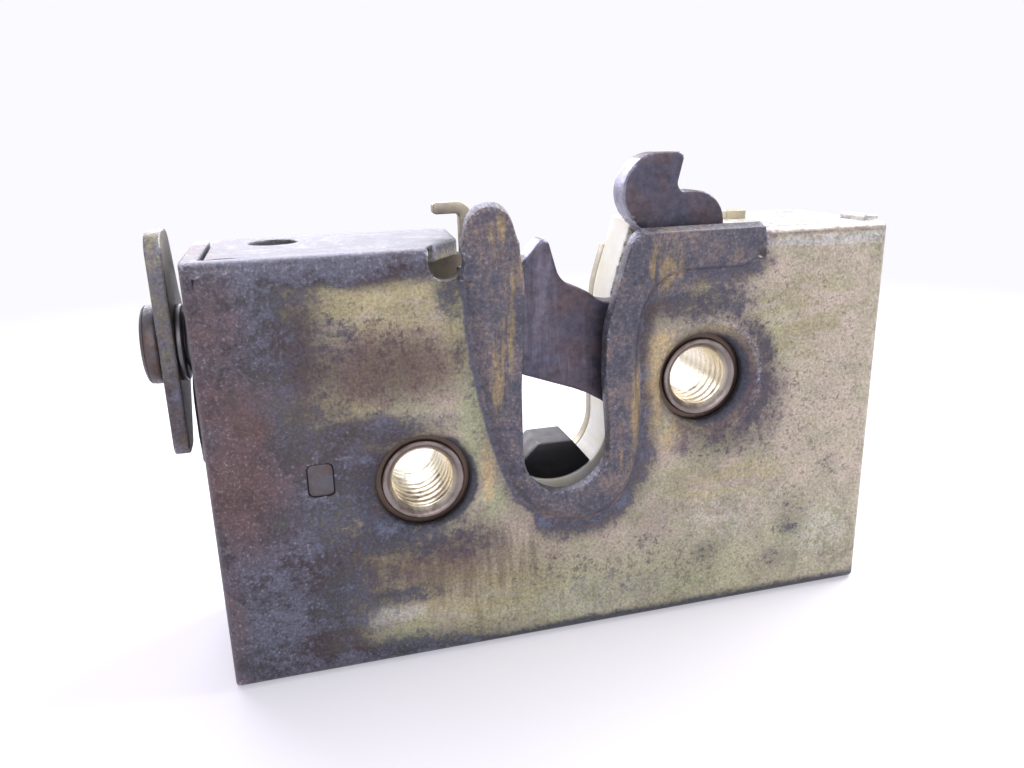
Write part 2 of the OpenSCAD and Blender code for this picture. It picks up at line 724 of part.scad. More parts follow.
// The release lever behind the back plate, whose eye clears the case's top flange
rivet_neck_d = 5;
release_eye = 1.6;
module release_lever() {
    eye_r = release_pin_d / 2 + release_eye;
    slot_len = 0.9;
    color(zinc) at_origin() difference() {
        plate(release_y, release_t) difference() {
            union() {
                translate([release_x, release_z]) circle(eye_r);
                // Arm down to the drive pin
                polygon(rounded([[release_x - eye_r + 0.1, release_z, 0],
                    [drive_x - 5, drive_z - 4, 3], [drive_x + 5, drive_z - 4, 3],
                    [release_x + eye_r - 0.1, release_z, 0]]));
                // Arm to the left with the rod eye
                polygon(rounded([[release_x, release_z + eye_r - 0.1, 0],
                    [release_x - 14.5, release_z + 0.6, 3], [release_x - 14.5, release_z - 7, 3],
                    [release_x - 2, release_z - 7.2, 0]]));
            }
            translate([release_x - 11, release_z - 3.2]) circle(d = 4.2);
            // Slot for the drive pin, which moves a little along the arm
            for (k = [-1, 1])
                translate([drive_x, drive_z + k * slot_len / 2])
                    circle(d = drive_pin_d + 2 * pin_play);
            translate([drive_x, drive_z])
                square([drive_pin_d + 2 * pin_play, slot_len], center = true);
        }
        bar_y(release_x, release_z, release_y - 1, release_back + 1,
            release_pin_d + 2 * run_clear);
    }
}

module release_rivet() {
    color(dull_steel) at_origin() {
        bar_y(release_x, release_z, plate_y - 0.8, plate_y, rivet_neck_d + 3);
        bar_y(release_x, release_z, plate_y - 0.1, plate_back + 0.1, rivet_neck_d);
        bar_y(release_x, release_z, plate_back, release_back + 0.1, release_pin_d);
        bar_y(release_x, release_z, release_back + 0.1, release_back + 1.4,
            release_pin_d + 2 * release_eye);
    }
}

// The lock slide behind the back plate

slide_x = 6.6;
slide_y = plate_back + lever_gap;
slide_w = 6.4;
slide_z0 = 7;
slide_z1 = side_z + 4.4;
slide_pin_d = 3;
slide_pins_z = [13, side_z - 14.3];
slide_stroke = (tab_y - side_y) * side_travel * PI / 180;
tab_h = 3.2;
fork_play = 0.5;
module lock_slide() {
    color(nylon) at_origin() {
        plate(slide_y, slide_t) difference() {
            union() {
                translate([slide_x - slide_w / 2, slide_z0])
                    square([slide_w, slide_z1 - slide_z0]);
                // Arm for the key cylinder's rod
                translate([slide_x, 20]) square([9, 5.5]);
                translate([slide_x + 9, 22.75]) circle(d = 5.5);
            }
            translate([slide_x + 9, 22.75]) circle(d = 2.6);
            // Guide slots for the two pins
            for (z = slide_pins_z) {
                w = slide_pin_d + 0.5;
                translate([slide_x, z]) circle(d = w);
                translate([slide_x, z - slide_stroke]) circle(d = w);
                translate([slide_x - w / 2, z - slide_stroke]) square([w, slide_stroke]);
            }
            // Notches for the detent
            for (k = [0, 1])
                translate([slide_x + slide_w / 2 + 0.2, detent_bump_z - k * slide_stroke])
                    circle(r = 1.1);
        }
        // Fork round the side lever's tab
        fork = tab_h / 2 + fork_play;
        for (z = [side_z - fork - 2.2, side_z + fork])
            translate([slide_x - slide_w / 2, slide_y, z])
                cube([slide_w, tab_y + 1.8 - slide_y, 2.2]);
    }
}

module slide_pin(z) {
    bar_y(slide_x, z, plate_y - 0.6, plate_y, slide_pin_d + 2);
    bar_y(slide_x, z, plate_y - 0.1, slide_y + slide_t + 0.3, slide_pin_d);
    bar_y(slide_x, z, slide_y + slide_t + 0.3, slide_y + slide_t + 1.3, slide_pin_d + 2.4);
}

module slide_pin_upper() { color(dull_steel) at_origin() slide_pin(slide_pins_z[1]); }

module slide_pin_lower() { color(dull_steel) at_origin() slide_pin(slide_pins_z[0]); }

// Leaf spring with a bump that holds the slide in its two places
detent_x = slide_x + 7.4;
detent_z = 9;
detent_rivet_d = 2.4;
detent_bump_z = 17;
leaf_t = 0.6;
module slide_detent() {
    leaf_x = slide_x + slide_w / 2 + 0.9;
    color(spring_steel) at_origin() {
        // Foot on the back plate, with its rivet
        plate(plate_back, leaf_t)
            translate([leaf_x, detent_z - 2.6]) square([detent_x + 2.6 - leaf_x, 5.2]);
        bar_y(detent_x, detent_z, plate_y - 0.5, plate_back + leaf_t + 0.7, detent_rivet_d);
        // Leaf on edge beside the slide
        translate([leaf_x, plate_back, detent_z - 2.6]) cube([leaf_t, slide_t, 9.4]);
        intersection() {
            bar_y(leaf_x + 0.5, detent_bump_z - 0.6, plate_back, plate_back + slide_t, 2.4);
            translate([leaf_x - 1.2, plate_back, detent_z - 2.6]) cube([1.8, slide_t, 10.6]);
        }
    }
}

// The side lever outside the left flange

module side_lever() {
    color(dull_steel) at_origin() difference() {
        union() {
            side_plate(side_back, side_t) polygon(rounded([
                [side_y - 5.6, case_h + 3, 2.6], [side_y + 2.6, case_h + 3, 3],
                [side_y + 6.6, side_z + 6, 3], [tab_y + 1, side_z + tab_h / 2, 0],
                [tab_y + 1, side_z - tab_h / 2, 0], [side_y + 6.6, side_z - 6, 3],
                [side_y - 0.8, side_z - 14, 2.4], [side_y - 5.2, side_z - 14, 1.4]]));
            // Tab bent inward through the flange's window
            translate([side_back, tab_y - 1, side_z - tab_h / 2])
                cube([slide_x + 2.6 - side_back, 2, tab_h]);
        }
        bar_x(side_y, side_z, side_back - 1, side_face + 1, side_shank_d + 2 * run_clear);
    }
}

module side_rivet() {
    color(dull_steel) at_origin() {
        translate([side_head_face, side_y, side_z]) rotate([0, 90, 0]) {
            cylinder(d1 = side_head_d - 1.2, d2 = side_head_d, h = 0.6);
            translate([0, 0, 0.6]) cylinder(d = side_head_d, h = side_head_t - 0.6);
        }
        bar_x(side_y, side_z, side_back - seat - eps, sheet_t + 0.1, side_shank_d);
        bar_x(side_y, side_z, sheet_t, sheet_t + 0.9, side_shank_d + 2.4);
    }
}

washer_t = 0.8;
module side_washer() {
    color(spring_steel) at_origin() difference() {
        bar_x(side_y, side_z, side_face + seat, side_face + seat + washer_t, side_shank_d + 4);
        bar_x(side_y, side_z, side_face - 1, 1, side_shank_d + 0.1);
    }
}

// Flat coil between the flange and the lever, with a leg that shows under the lever
module side_spring() {
    r = side_shank_d / 2 + 0.3 + side_wire / 2;
    x = -0.05 - side_wire / 2;
    ring = [for (a = [-60:15:240]) [x, side_y + r * cos(a), side_z + r * sin(a)]];
    leg_low = [[x, side_y - 3.4, side_z - 15.6], [x, side_y - 3.2, side_z - 8]];
    color(spring_steel) at_origin()
        wire(concat(leg_low, ring), side_wire);
}

lock_case();
back_plate();
spacer_post();
claw_bush();
pawl_bush();
claw();
claw_spring();
claw_stop_pin();
claw_stop_sleeve();
pawl();
pawl_drive_pin();
pawl_spring();
striker_guide();
striker_buffer();
release_lever();
release_rivet();
lock_slide();
slide_pin_upper();
slide_pin_lower();
slide_detent();
side_lever();
side_rivet();
side_washer();
side_spring();
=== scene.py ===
import math

import bmesh
import bpy
import numpy as np
from mathutils import Matrix


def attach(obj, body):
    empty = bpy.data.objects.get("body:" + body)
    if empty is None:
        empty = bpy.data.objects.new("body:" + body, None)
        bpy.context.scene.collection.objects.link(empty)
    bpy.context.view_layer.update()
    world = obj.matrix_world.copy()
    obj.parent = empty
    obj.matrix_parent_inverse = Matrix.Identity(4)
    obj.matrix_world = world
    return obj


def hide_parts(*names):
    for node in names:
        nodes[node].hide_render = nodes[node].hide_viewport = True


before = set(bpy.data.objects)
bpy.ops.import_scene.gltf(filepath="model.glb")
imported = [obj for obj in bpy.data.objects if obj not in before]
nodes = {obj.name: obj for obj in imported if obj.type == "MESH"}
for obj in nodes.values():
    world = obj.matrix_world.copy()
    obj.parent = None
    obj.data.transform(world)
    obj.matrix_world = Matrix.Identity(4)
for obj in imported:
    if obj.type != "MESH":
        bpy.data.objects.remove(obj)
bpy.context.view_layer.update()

caseCorner = np.array([44.725, 11.3, 0.0])  # mm from the case's lower left front corner to the origin
print("frame loaded,", len(nodes), "nodes")


# Points in mm from the case's corner, in metres in the shared frame
def fromCase(points):
    return (np.asarray(points, float) - caseCorner) / 1000


def unitRows(vectors):
    return vectors / np.maximum(np.linalg.norm(vectors, axis=-1, keepdims=True), 1e-12)


# A grid of points, closed round its second parameter. Its first and last rows are capped, or joined
# where it closes both ways
def gridMesh(name, grid, closedBothWays=False, smoothAngle=40):
    rows, columns = grid.shape[:2]
    index = np.arange(rows * columns).reshape(rows, columns)
    following = np.roll(index, -1, axis=1)
    if closedBothWays:
        upper, upperNext = np.roll(index, -1, axis=0), np.roll(following, -1, axis=0)
    else:
        index, following, upper, upperNext = index[:-1], following[:-1], index[1:], following[1:]
    faces = np.stack([index, following, upperNext, upper], axis=-1).reshape(-1, 4).tolist()
    if not closedBothWays:
        faces.append(list(range(columns))[::-1])
        faces.append(list(range((rows - 1) * columns, rows * columns)))
    mesh = bpy.data.meshes.new(name)
    mesh.from_pydata(fromCase(grid.reshape(-1, 3)).tolist(), [], faces)
    work = bmesh.new()
    work.from_mesh(mesh)
    bmesh.ops.recalc_face_normals(work, faces=work.faces)
    work.to_mesh(mesh)
    work.free()
    return finishPiece(name, mesh, smoothAngle)


def finishPiece(name, mesh, smoothAngle):
    mesh.validate()
    mesh.shade_smooth()
    mesh.set_sharp_from_angle(angle=math.radians(smoothAngle))
    piece = bpy.data.objects.new(name, mesh)
    bpy.context.collection.objects.link(piece)
    return piece


# Corners of an open profile rounded: each corner is a quadratic curve between points a radius away
def roundedProfile(profile, steps=5):
    out = []
    points = np.array([p[:2] for p in profile], float)
    for i, (a, b, radius) in enumerate(profile):
        if radius <= 0 or i in (0, len(profile) - 1):
            out.append(points[i][None])
            continue
        back, ahead = points[i - 1] - points[i], points[i + 1] - points[i]
        start = points[i] + back / np.linalg.norm(back) * radius
        end = points[i] + ahead / np.linalg.norm(ahead) * radius
        t = np.linspace(0, 1, steps)[:, None]
        out.append((1 - t) ** 2 * start + 2 * t * (1 - t) * points[i] + t ** 2 * end)
    return np.concatenate(out)


# Turned piece: a profile of (radius, distance) carried round an axis, as radius, distance and the
# angle of each side in three arrays
def turnProfile(profile, sides):
    line = roundedProfile(profile)
    angle = np.linspace(0, 2 * np.pi, sides, endpoint=False)
    radius = np.repeat(line[:, 0][:, None], sides, axis=1)
    along = np.repeat(line[:, 1][:, None], sides, axis=1)
    return radius, along, angle[None, :]


# Round wire: point = path + thickness / 2 * (across * cos(angle) + up * sin(angle)), where across
# and up stand square to the path. Both ends are a little thinner, as cut wire is
def wireAlong(name, path, thickness, sides=14, endShare=0.72):
    path = np.asarray(path, float)
    tangent = unitRows(np.gradient(path, axis=0))
    guide = np.where(np.abs(tangent[:, 1:2]) < 0.9, [[0.0, 1.0, 0.0]], [[1.0, 0.0, 0.0]])
    across = unitRows(np.cross(tangent, guide))
    up = np.cross(tangent, across)
    angle = np.linspace(0, 2 * np.pi, sides, endpoint=False)
    ring = across[:, None] * np.cos(angle)[None, :, None] + up[:, None] * np.sin(angle)[None, :, None]
    thick = np.full(len(path), thickness / 2)
    thick[[0, -1]] *= endShare
    return gridMesh(name, path[:, None] + ring * thick[:, None, None])


# Splits faces by planes across an axis (0 is x) at places in mm from the case's corner
def cutAcross(work, axis, places):
    across = np.eye(3)[axis]
    for place in places:
        bmesh.ops.bisect_plane(work, geom=work.verts[:] + work.edges[:] + work.faces[:], dist=1e-6,
                               plane_co=across * (place - caseCorner[axis]) / 1000, plane_no=across)


# Worn copy of a CAD piece: its triangles are merged, its sharp edges broken by a small bevel,
# and faces split, so that colours can follow the shape: at the places in cuts, one list for each
# axis, then wherever an edge is longer than the longest one allowed. The places in firstCuts are
# cut before the bevel, so that a thin face isn't pulled askew over its whole length by one corner
def wornCopy(nodeName, bevelWidth, longestEdge, bevelAngle=38, smoothAngle=32, cuts=(), firstCuts=()):
    work = bmesh.new()
    work.from_mesh(nodes[nodeName].data)
    bmesh.ops.remove_doubles(work, verts=work.verts, dist=2e-6)
    bmesh.ops.dissolve_limit(work, angle_limit=math.radians(0.6), verts=work.verts, edges=work.edges)
    cutAcross(work, 0, firstCuts)
    sharp = [e for e in work.edges
             if e.is_manifold and e.calc_face_angle_signed(0) > math.radians(bevelAngle)]
    if bevelWidth > 0:
        bmesh.ops.bevel(work, geom=sharp, offset=bevelWidth / 1000, offset_type="OFFSET", segments=2,
                        profile=0.55, affect="EDGES", clamp_overlap=False)
    bmesh.ops.remove_doubles(work, verts=work.verts, dist=1e-6)
    for axis, places in enumerate(cuts):
        cutAcross(work, axis, places)
    bmesh.ops.triangulate(work, faces=work.faces)
    for turn in range(7):
        long = [e for e in work.edges if e.calc_length() * 1000 > longestEdge]
        if not long:
            break
        bmesh.ops.subdivide_edges(work, edges=long, cuts=1)
        bmesh.ops.triangulate(work, faces=[f for f in work.faces if len(f.verts) > 3])
    mesh = bpy.data.meshes.new(nodeName + "Worn")
    work.to_mesh(mesh)
    work.free()
    piece = finishPiece(nodeName + "Worn", mesh, smoothAngle)
    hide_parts(nodeName)
    return piece


# The mesh's points in mm from the case's corner, and a way to put moved ones back
def casePoints(piece):
    flat = np.empty(len(piece.data.vertices) * 3)
    piece.data.vertices.foreach_get("co", flat)
    return flat.reshape(-1, 3) * 1000 + caseCorner


def moveTo(piece, points):
    piece.data.vertices.foreach_set("co", np.ascontiguousarray(fromCase(points), dtype=np.float32).ravel())
    piece.data.update()


def pointNormals(piece):
    flat = np.empty(len(piece.data.vertices) * 3)
    piece.data.vertices.foreach_get("normal", flat)
    return flat.reshape(-1, 3)


def setField(piece, name, values):
    field = piece.data.attributes.new(name, "FLOAT", "POINT")
    field.data.foreach_set("value", np.ascontiguousarray(values, dtype=np.float32))


# Largest of several stains: each is weight * exp(-0.6 * r^2.6), where r^2 = (u/ru)^2 + (v/rv)^2
def softSpots(x, z, spots):
    best = np.zeros_like(x)
    for cx, cz, rx, rz, weight in spots:
        reach = ((x - cx) / rx) ** 2 + ((z - cz) / rz) ** 2
        best = np.maximum(best, weight * np.exp(-0.6 * reach ** 1.3))
    return best


def smoothStep(value, low, high):
    t = np.clip((value - low) / (high - low), 0, 1)
    return t * t * (3 - 2 * t)


# Distance to a polyline with its nearest stretch, and whether points lie inside it when it's closed.
# Both go stretch by stretch, to keep memory small
def toLine(x, z, line):
    best, which = np.full(len(x), 1e9), np.zeros(len(x), int)
    for i, (start, end) in enumerate(zip(line[:-1], line[1:])):
        d = end - start
        t = np.clip(((x - start[0]) * d[0] + (z - start[1]) * d[1]) / (d @ d), 0, 1)
        away = np.hypot(x - start[0] - t * d[0], z - start[1] - t * d[1])
        nearer = away < best
        best[nearer], which[nearer] = away[nearer], i
    return best, which


def insideLine(x, z, line):
    inside = np.zeros(len(x), bool)
    for start, end in zip(line, np.roll(line, -1, axis=0)):
        if start[1] != end[1]:
            meets = start[0] + (end[0] - start[0]) * (z - start[1]) / (end[1] - start[1])
            inside ^= ((start[1] > z) != (end[1] > z)) & (x < meets)
    return inside


# How sharp the shape is at each point: mean slope from the point's normal to its neighbours,
# averaged once with theirs
def edgeSharpness(piece):
    points, normals = casePoints(piece), pointNormals(piece)
    edges = np.empty(len(piece.data.edges) * 2, dtype=np.int64)
    piece.data.edges.foreach_get("vertices", edges)
    a, b = edges.reshape(-1, 2).T
    step = unitRows(points[b] - points[a])
    total, count = np.zeros(len(points)), np.zeros(len(points))
    np.add.at(total, a, -(step * normals[a]).sum(1))
    np.add.at(total, b, (step * normals[b]).sum(1))
    np.add.at(count, a, 1)
    np.add.at(count, b, 1)
    sharp = total / np.maximum(count, 1)
    spread = sharp.copy()
    np.add.at(spread, a, sharp[b])
    np.add.at(spread, b, sharp[a])
    return spread / (1 + count)


def linearFromHex(text):
    channels = [int(text[i:i + 2], 16) / 255 for i in (1, 3, 5)]
    return tuple(c / 12.92 if c <= 0.04045 else ((c + 0.055) / 1.055) ** 2.4 for c in channels) + (1.0,)


# Noise scale for a pattern of this size in mm, because Object coordinates are in metres
def perMm(size):
    return 1000.0 / size


# Adds a node: a socket among the settings or links is linked, and anything else is set
def addNode(tree, kind, settings=None, links=None):
    node = tree.nodes.new(kind)
    for key, value in {**(settings or {}), **(links or {})}.items():
        if isinstance(value, bpy.types.NodeSocket):
            tree.links.new(value, node.inputs[key])
        elif isinstance(key, int) or key in node.inputs:
            node.inputs[key].default_value = value
        else:
            setattr(node, key, value)
    return node


# A stain lies where its cover plus some broken-up grain passes one half, and nowhere without cover
def stain(tree, below, tone, cover, grain, breakUp, soft, most):
    reach = addNode(tree, "ShaderNodeMath", {"operation": "MULTIPLY_ADD", 1: breakUp}, {0: grain, 2: cover})
    middle = 0.5 + breakUp / 2
    amount = addNode(tree, "ShaderNodeMapRange", {"interpolation_type": "SMOOTHSTEP", "To Max": most,
                     "From Min": middle - soft, "From Max": middle + soft},
                     {"Value": reach.outputs[0]}).outputs["Result"]
    present = addNode(tree, "ShaderNodeMapRange", {"From Min": 0.02, "From Max": 0.3},
                      {"Value": cover}).outputs["Result"]
    amount = addNode(tree, "ShaderNodeMath", {"operation": "MULTIPLY"}, {0: amount, 1: present}).outputs[0]
    return addNode(tree, "ShaderNodeMix", {"data_type": "RGBA", 7: linearFromHex(tone)},
                   {0: amount, 6: below}).outputs[2]


# One tone that turns into another as the socket's value goes from low to high
def twoTones(tree, first, second, socket, low=0.0, high=1.0):
    share = addNode(tree, "ShaderNodeMapRange", {"From Min": low, "From Max": high},
                    {"Value": socket}).outputs["Result"]
    return addNode(tree, "ShaderNodeMix", {"data_type": "RGBA", 6: linearFromHex(first),
                   7: linearFromHex(second)}, {0: share}).outputs[2]


# A metal's or plastic's surface with its bump. Roughness is (socket, its low, its high, smoothest,
# roughest), and heights is a list of (socket, height in mm)
def finishSurface(tree, tone, roughness, heights, settings):
    socket, low, high, smoothest, roughest = roughness
    rough = addNode(tree, "ShaderNodeMapRange", {"From Min": low, "From Max": high, "To Min": smoothest,
                    "To Max": roughest}, {"Value": socket}).outputs["Result"]
    links = {}
    for socket, height in heights:
        bump = addNode(tree, "ShaderNodeBump", {"Distance": height / 1000}, {"Height": socket, **links})
        links = {"Normal": bump.outputs["Normal"]}
    surface = addNode(tree, "ShaderNodeBsdfPrincipled", settings,
                      {"Base Color": tone, "Roughness": rough, **links})
    addNode(tree, "ShaderNodeOutputMaterial", {}, {"Surface": surface.outputs[0]})


def newMaterial(name):
    material = bpy.data.materials.new(name)
    material.use_nodes = True
    material.node_tree.nodes.clear()
    return material, material.node_tree


# Pressed steel sheet with yellow chromated zinc, old and weathered: olive and gold where the zinc
# is left, blue-grey where it's gone, brown rust and dark specks, all with grainy edges; its pale edge tone is
# partly wear and partly painted highlight
zincSheetLook = {
    "base": "#9e9584", "olive": "#918c78", "pale": "#b8ad9b", "rose": "#b29d98", "gold": "#a29875",
    "green": "#a2a683", "white": "#cbc9c5", "brown": "#61504a", "halo": "#4b3f4a", "dark": "#3b3e4b",
    "violet": "#46393d", "cool": "#6b7184", "rust": "#5c4541", "ochre": "#b8a27a", "steel": "#4f4f5d",
    "steelBrown": "#7a685c", "rimGold": "#98845f", "speck": "#3f373d", "frost": "#8d8b9c",
    "edge": "#a5a7b7",
}


def zincSheetMaterial(look):
    material, tree = newMaterial("yellowZincSheetOld")
    place = addNode(tree, "ShaderNodeTexCoord").outputs["Object"]
    cloud = addNode(tree, "ShaderNodeTexNoise", {"Scale": perMm(15), "Detail": 5, "Roughness": 0.6},
                    {"Vector": place}).outputs["Fac"]
    mottle = addNode(tree, "ShaderNodeTexNoise", {"Scale": perMm(4.6), "Detail": 9, "Roughness": 0.7,
                     "Distortion": 0.3}, {"Vector": place}).outputs["Fac"]
    grain = addNode(tree, "ShaderNodeTexNoise", {"Scale": perMm(0.9), "Detail": 5, "Roughness": 0.75},
                    {"Vector": place}).outputs["Fac"]
    fine = addNode(tree, "ShaderNodeTexNoise", {"Scale": perMm(0.42), "Detail": 4, "Roughness": 0.75},
                   {"Vector": place}).outputs["Fac"]
    smearPlace = addNode(tree, "ShaderNodeMapping", {"Rotation": (0, math.radians(-5), 0),
                         "Scale": (0.3, 1, 1)}, {"Vector": place}).outputs[0]
    smear = addNode(tree, "ShaderNodeTexNoise", {"Scale": perMm(1.7), "Detail": 8, "Roughness": 0.72},
                    {"Vector": smearPlace}).outputs["Fac"]
    dripPlace = addNode(tree, "ShaderNodeMapping", {"Scale": (1, 1, 0.12)}, {"Vector": place}).outputs[0]
    drip = addNode(tree, "ShaderNodeTexNoise", {"Scale": perMm(1.1), "Detail": 6, "Roughness": 0.7},
                   {"Vector": dripPlace}).outputs["Fac"]
    rough = addNode(tree, "ShaderNodeMath", {"operation": "MULTIPLY_ADD", 1: 0.5},
                    {0: grain, 2: addNode(tree, "ShaderNodeMath", {"operation": "MULTIPLY", 1: 0.5},
                                          {0: mottle}).outputs[0]}).outputs[0]
    fields = {name: addNode(tree, "ShaderNodeAttribute", {"attribute_name": name}).outputs["Fac"]
              for name in ("grime", "rust", "brown", "halo", "gold", "green", "ochre", "pale", "white",
                           "steel", "rimGold", "streak", "speck", "frost", "sharp", "under", "steelUnder")}
    fields["even"] = 0.5  # for tints that break up the whole sheet
    tone = twoTones(tree, look["base"], look["olive"], cloud, 0.36, 0.64)
    # Tone, field, what breaks it up, how much, softness, most cover
    layers = [
        ("pale", "pale", rough, 1.0, 0.45, 0.95), ("rose", "even", mottle, 3.2, 0.5, 0.55),
        ("green", "even", smear, 3.4, 0.5, 0.4), ("green", "green", rough, 2.6, 0.45, 0.8),
        ("gold", "gold", smear, 2.8, 0.4, 0.85), ("white", "white", grain, 2.2, 0.3, 0.7),
        ("brown", "brown", rough, 2.8, 0.4, 0.88), ("brown", "streak", drip, 2.6, 0.3, 0.5),
        ("halo", "halo", rough, 2.8, 0.4, 0.88), ("ochre", "ochre", grain, 2.6, 0.22, 0.85),
        ("dark", "grime", rough, 2.8, 0.36, 0.92), ("violet", "under", cloud, 3.4, 0.5, 0.85),
        ("cool", "under", rough, 3.4, 0.25, 0.45), ("rust", "rust", rough, 2.8, 0.42, 0.8),
        ("steel", "steel", mottle, 0.8, 0.25, 0.96), ("steelBrown", "steelUnder", rough, 3.0, 0.3, 0.75),
        ("rimGold", "rimGold", drip, 3.0, 0.35, 0.8), ("speck", "speck", grain, 1.6, 0.1, 0.6),
        # The pale edge tone laid on sharp is wear on sharp edges and painted highlight
        ("frost", "frost", fine, 1.3, 0.08, 0.42), ("edge", "sharp", fine, 1.6, 0.4, 0.65),
    ]
    for toneName, fieldName, breaker, amount, soft, most in layers:
        tone = stain(tree, tone, look[toneName], fields[fieldName], breaker, amount, soft, most)
    shade = addNode(tree, "ShaderNodeMapRange", {"From Min": 0.3, "From Max": 0.7, "To Min": 0.6,
                    "To Max": 1.4}, {"Value": fine}).outputs["Result"]
    patchy = addNode(tree, "ShaderNodeMapRange", {"From Min": 0.32, "From Max": 0.68, "To Min": 0.56,
                     "To Max": 1.4}, {"Value": rough}).outputs["Result"]
    shade = addNode(tree, "ShaderNodeMath", {"operation": "MULTIPLY"}, {0: shade, 1: patchy}).outputs[0]
    tone = addNode(tree, "ShaderNodeVectorMath", {"operation": "SCALE"}, {0: tone, "Scale": shade}).outputs[0]
    finishSurface(tree, tone, (rough, 0.3, 0.75, 0.36, 0.62),
                  [(mottle, 0.16), (grain, 0.08), (fine, 0.02)], {"Metallic": 0.45})
    return material


# Plain chromated zinc for the pieces inside: cleaner, with drawn-out gold and rose tints
zincPlateLook = {"gold": "#c2b99a", "rose": "#b8ada2", "grime": "#857f74"}


def zincPlateMaterial(look):
    material, tree = newMaterial("yellowZincPlate")
    place = addNode(tree, "ShaderNodeTexCoord").outputs["Object"]
    cloud = addNode(tree, "ShaderNodeTexNoise", {"Scale": perMm(12), "Detail": 9, "Roughness": 0.72},
                    {"Vector": place}).outputs["Fac"]
    grain = addNode(tree, "ShaderNodeTexNoise", {"Scale": perMm(0.6), "Detail": 3},
                    {"Vector": place}).outputs["Fac"]
    tone = twoTones(tree, look["gold"], look["rose"], cloud, 0.35, 0.65)
    cover = addNode(tree, "ShaderNodeAttribute", {"attribute_name": "grime"}).outputs["Fac"]
    tone = stain(tree, tone, look["grime"], cover, cloud, 1.4, 0.3, 0.8)
    finishSurface(tree, tone, (grain, 0.3, 0.7, 0.34, 0.52), [(cloud, 0.08), (grain, 0.03)],
                  {"Metallic": 0.6})
    return material


# Hardened, blackened steel of claw and pawl: dark, brown where the striker rubs, pale scratches,
# pale edges partly from wear and partly painted highlight
clawLook = {"dark": "#4e4e5d", "brown": "#5b4e52", "worn": "#6c6774", "edge": "#a8a8ba"}


def clawMaterial(look):
    material, tree = newMaterial("blackenedSteelWorn")
    place = addNode(tree, "ShaderNodeTexCoord").outputs["Object"]
    cloud = addNode(tree, "ShaderNodeTexNoise", {"Scale": perMm(5), "Detail": 6, "Roughness": 0.62},
                    {"Vector": place}).outputs["Fac"]
    grain = addNode(tree, "ShaderNodeTexNoise", {"Scale": perMm(0.5), "Detail": 3},
                    {"Vector": place}).outputs["Fac"]
    rubPlace = addNode(tree, "ShaderNodeMapping", {"Rotation": (0, math.radians(12), 0),
                       "Scale": (1, 1, 0.1)}, {"Vector": place}).outputs[0]
    rub = addNode(tree, "ShaderNodeTexNoise", {"Scale": perMm(0.9), "Detail": 5, "Roughness": 0.65},
                  {"Vector": rubPlace}).outputs["Fac"]
    worn = addNode(tree, "ShaderNodeAttribute", {"attribute_name": "worn"}).outputs["Fac"]
    sharp = addNode(tree, "ShaderNodeAttribute", {"attribute_name": "sharp"}).outputs["Fac"]
    tone = twoTones(tree, look["dark"], look["brown"], cloud, 0.38, 0.66)
    tone = stain(tree, tone, look["worn"], worn, rub, 1.2, 0.2, 0.75)
    tone = stain(tree, tone, look["edge"], sharp, grain, 0.6, 0.25, 0.6)
    speckle = addNode(tree, "ShaderNodeTexNoise", {"Scale": perMm(1.1), "Detail": 7, "Roughness": 0.75},
                      {"Vector": place}).outputs["Fac"]
    shade = addNode(tree, "ShaderNodeMapRange", {"From Min": 0.3, "From Max": 0.7, "To Min": 0.62,
                    "To Max": 1.45}, {"Value": speckle}).outputs["Result"]
    tone = addNode(tree, "ShaderNodeVectorMath", {"operation": "SCALE"}, {0: tone, "Scale": shade}).outputs[0]
    finishSurface(tree, tone, (cloud, 0.3, 0.7, 0.34, 0.55),
                  [(cloud, 0.05), (grain, 0.03), (rub, 0.03)], {"Metallic": 0.7})
    return material


# Turned free-cutting steel under thin zinc: fine tool marks, gold inside the thread
bushLook = {"face": "#8a7f7c", "gold": "#dcd3bd", "grime": "#4f4036"}


def bushMaterial(look):
    material, tree = newMaterial("turnedSteelZinc")
    place = addNode(tree, "ShaderNodeTexCoord").outputs["Object"]
    cloud = addNode(tree, "ShaderNodeTexNoise", {"Scale": perMm(2.6), "Detail": 6, "Roughness": 0.65},
                    {"Vector": place}).outputs["Fac"]
    grain = addNode(tree, "ShaderNodeTexNoise", {"Scale": perMm(0.4), "Detail": 3},
                    {"Vector": place}).outputs["Fac"]
    bore = addNode(tree, "ShaderNodeAttribute", {"attribute_name": "bore"}).outputs["Fac"]
    grime = addNode(tree, "ShaderNodeAttribute", {"attribute_name": "grime"}).outputs["Fac"]
    tone = twoTones(tree, look["face"], look["gold"], bore)
    tone = stain(tree, tone, look["grime"], grime, cloud, 1.3, 0.22, 0.9)
    finishSurface(tree, tone, (cloud, 0.3, 0.7, 0.22, 0.45), [(cloud, 0.05), (grain, 0.02)],
                  {"Metallic": 0.85})
    return material


# Pins and rivets: cold-headed steel gone dull, brown in places
dullLook = {"steel": "#5e5c62", "brown": "#5a4436"}


def dullSteelMaterial(look):
    material, tree = newMaterial("coldHeadedSteelDull")
    place = addNode(tree, "ShaderNodeTexCoord").outputs["Object"]
    cloud = addNode(tree, "ShaderNodeTexNoise", {"Scale": perMm(3.4), "Detail": 6, "Roughness": 0.65},
                    {"Vector": place}).outputs["Fac"]
    grain = addNode(tree, "ShaderNodeTexNoise", {"Scale": perMm(0.45), "Detail": 3},
                    {"Vector": place}).outputs["Fac"]
    tone = twoTones(tree, look["steel"], look["brown"], cloud, 0.45, 0.68)
    finishSurface(tree, tone, (grain, 0.3, 0.7, 0.35, 0.6), [(cloud, 0.06), (grain, 0.03)],
                  {"Metallic": 0.75})
    return material


# Patented spring wire: drawn, dark grey, with lines along its length too fine to show
wireLook = {"grey": "#4c4a4c", "pale": "#7d7b80"}


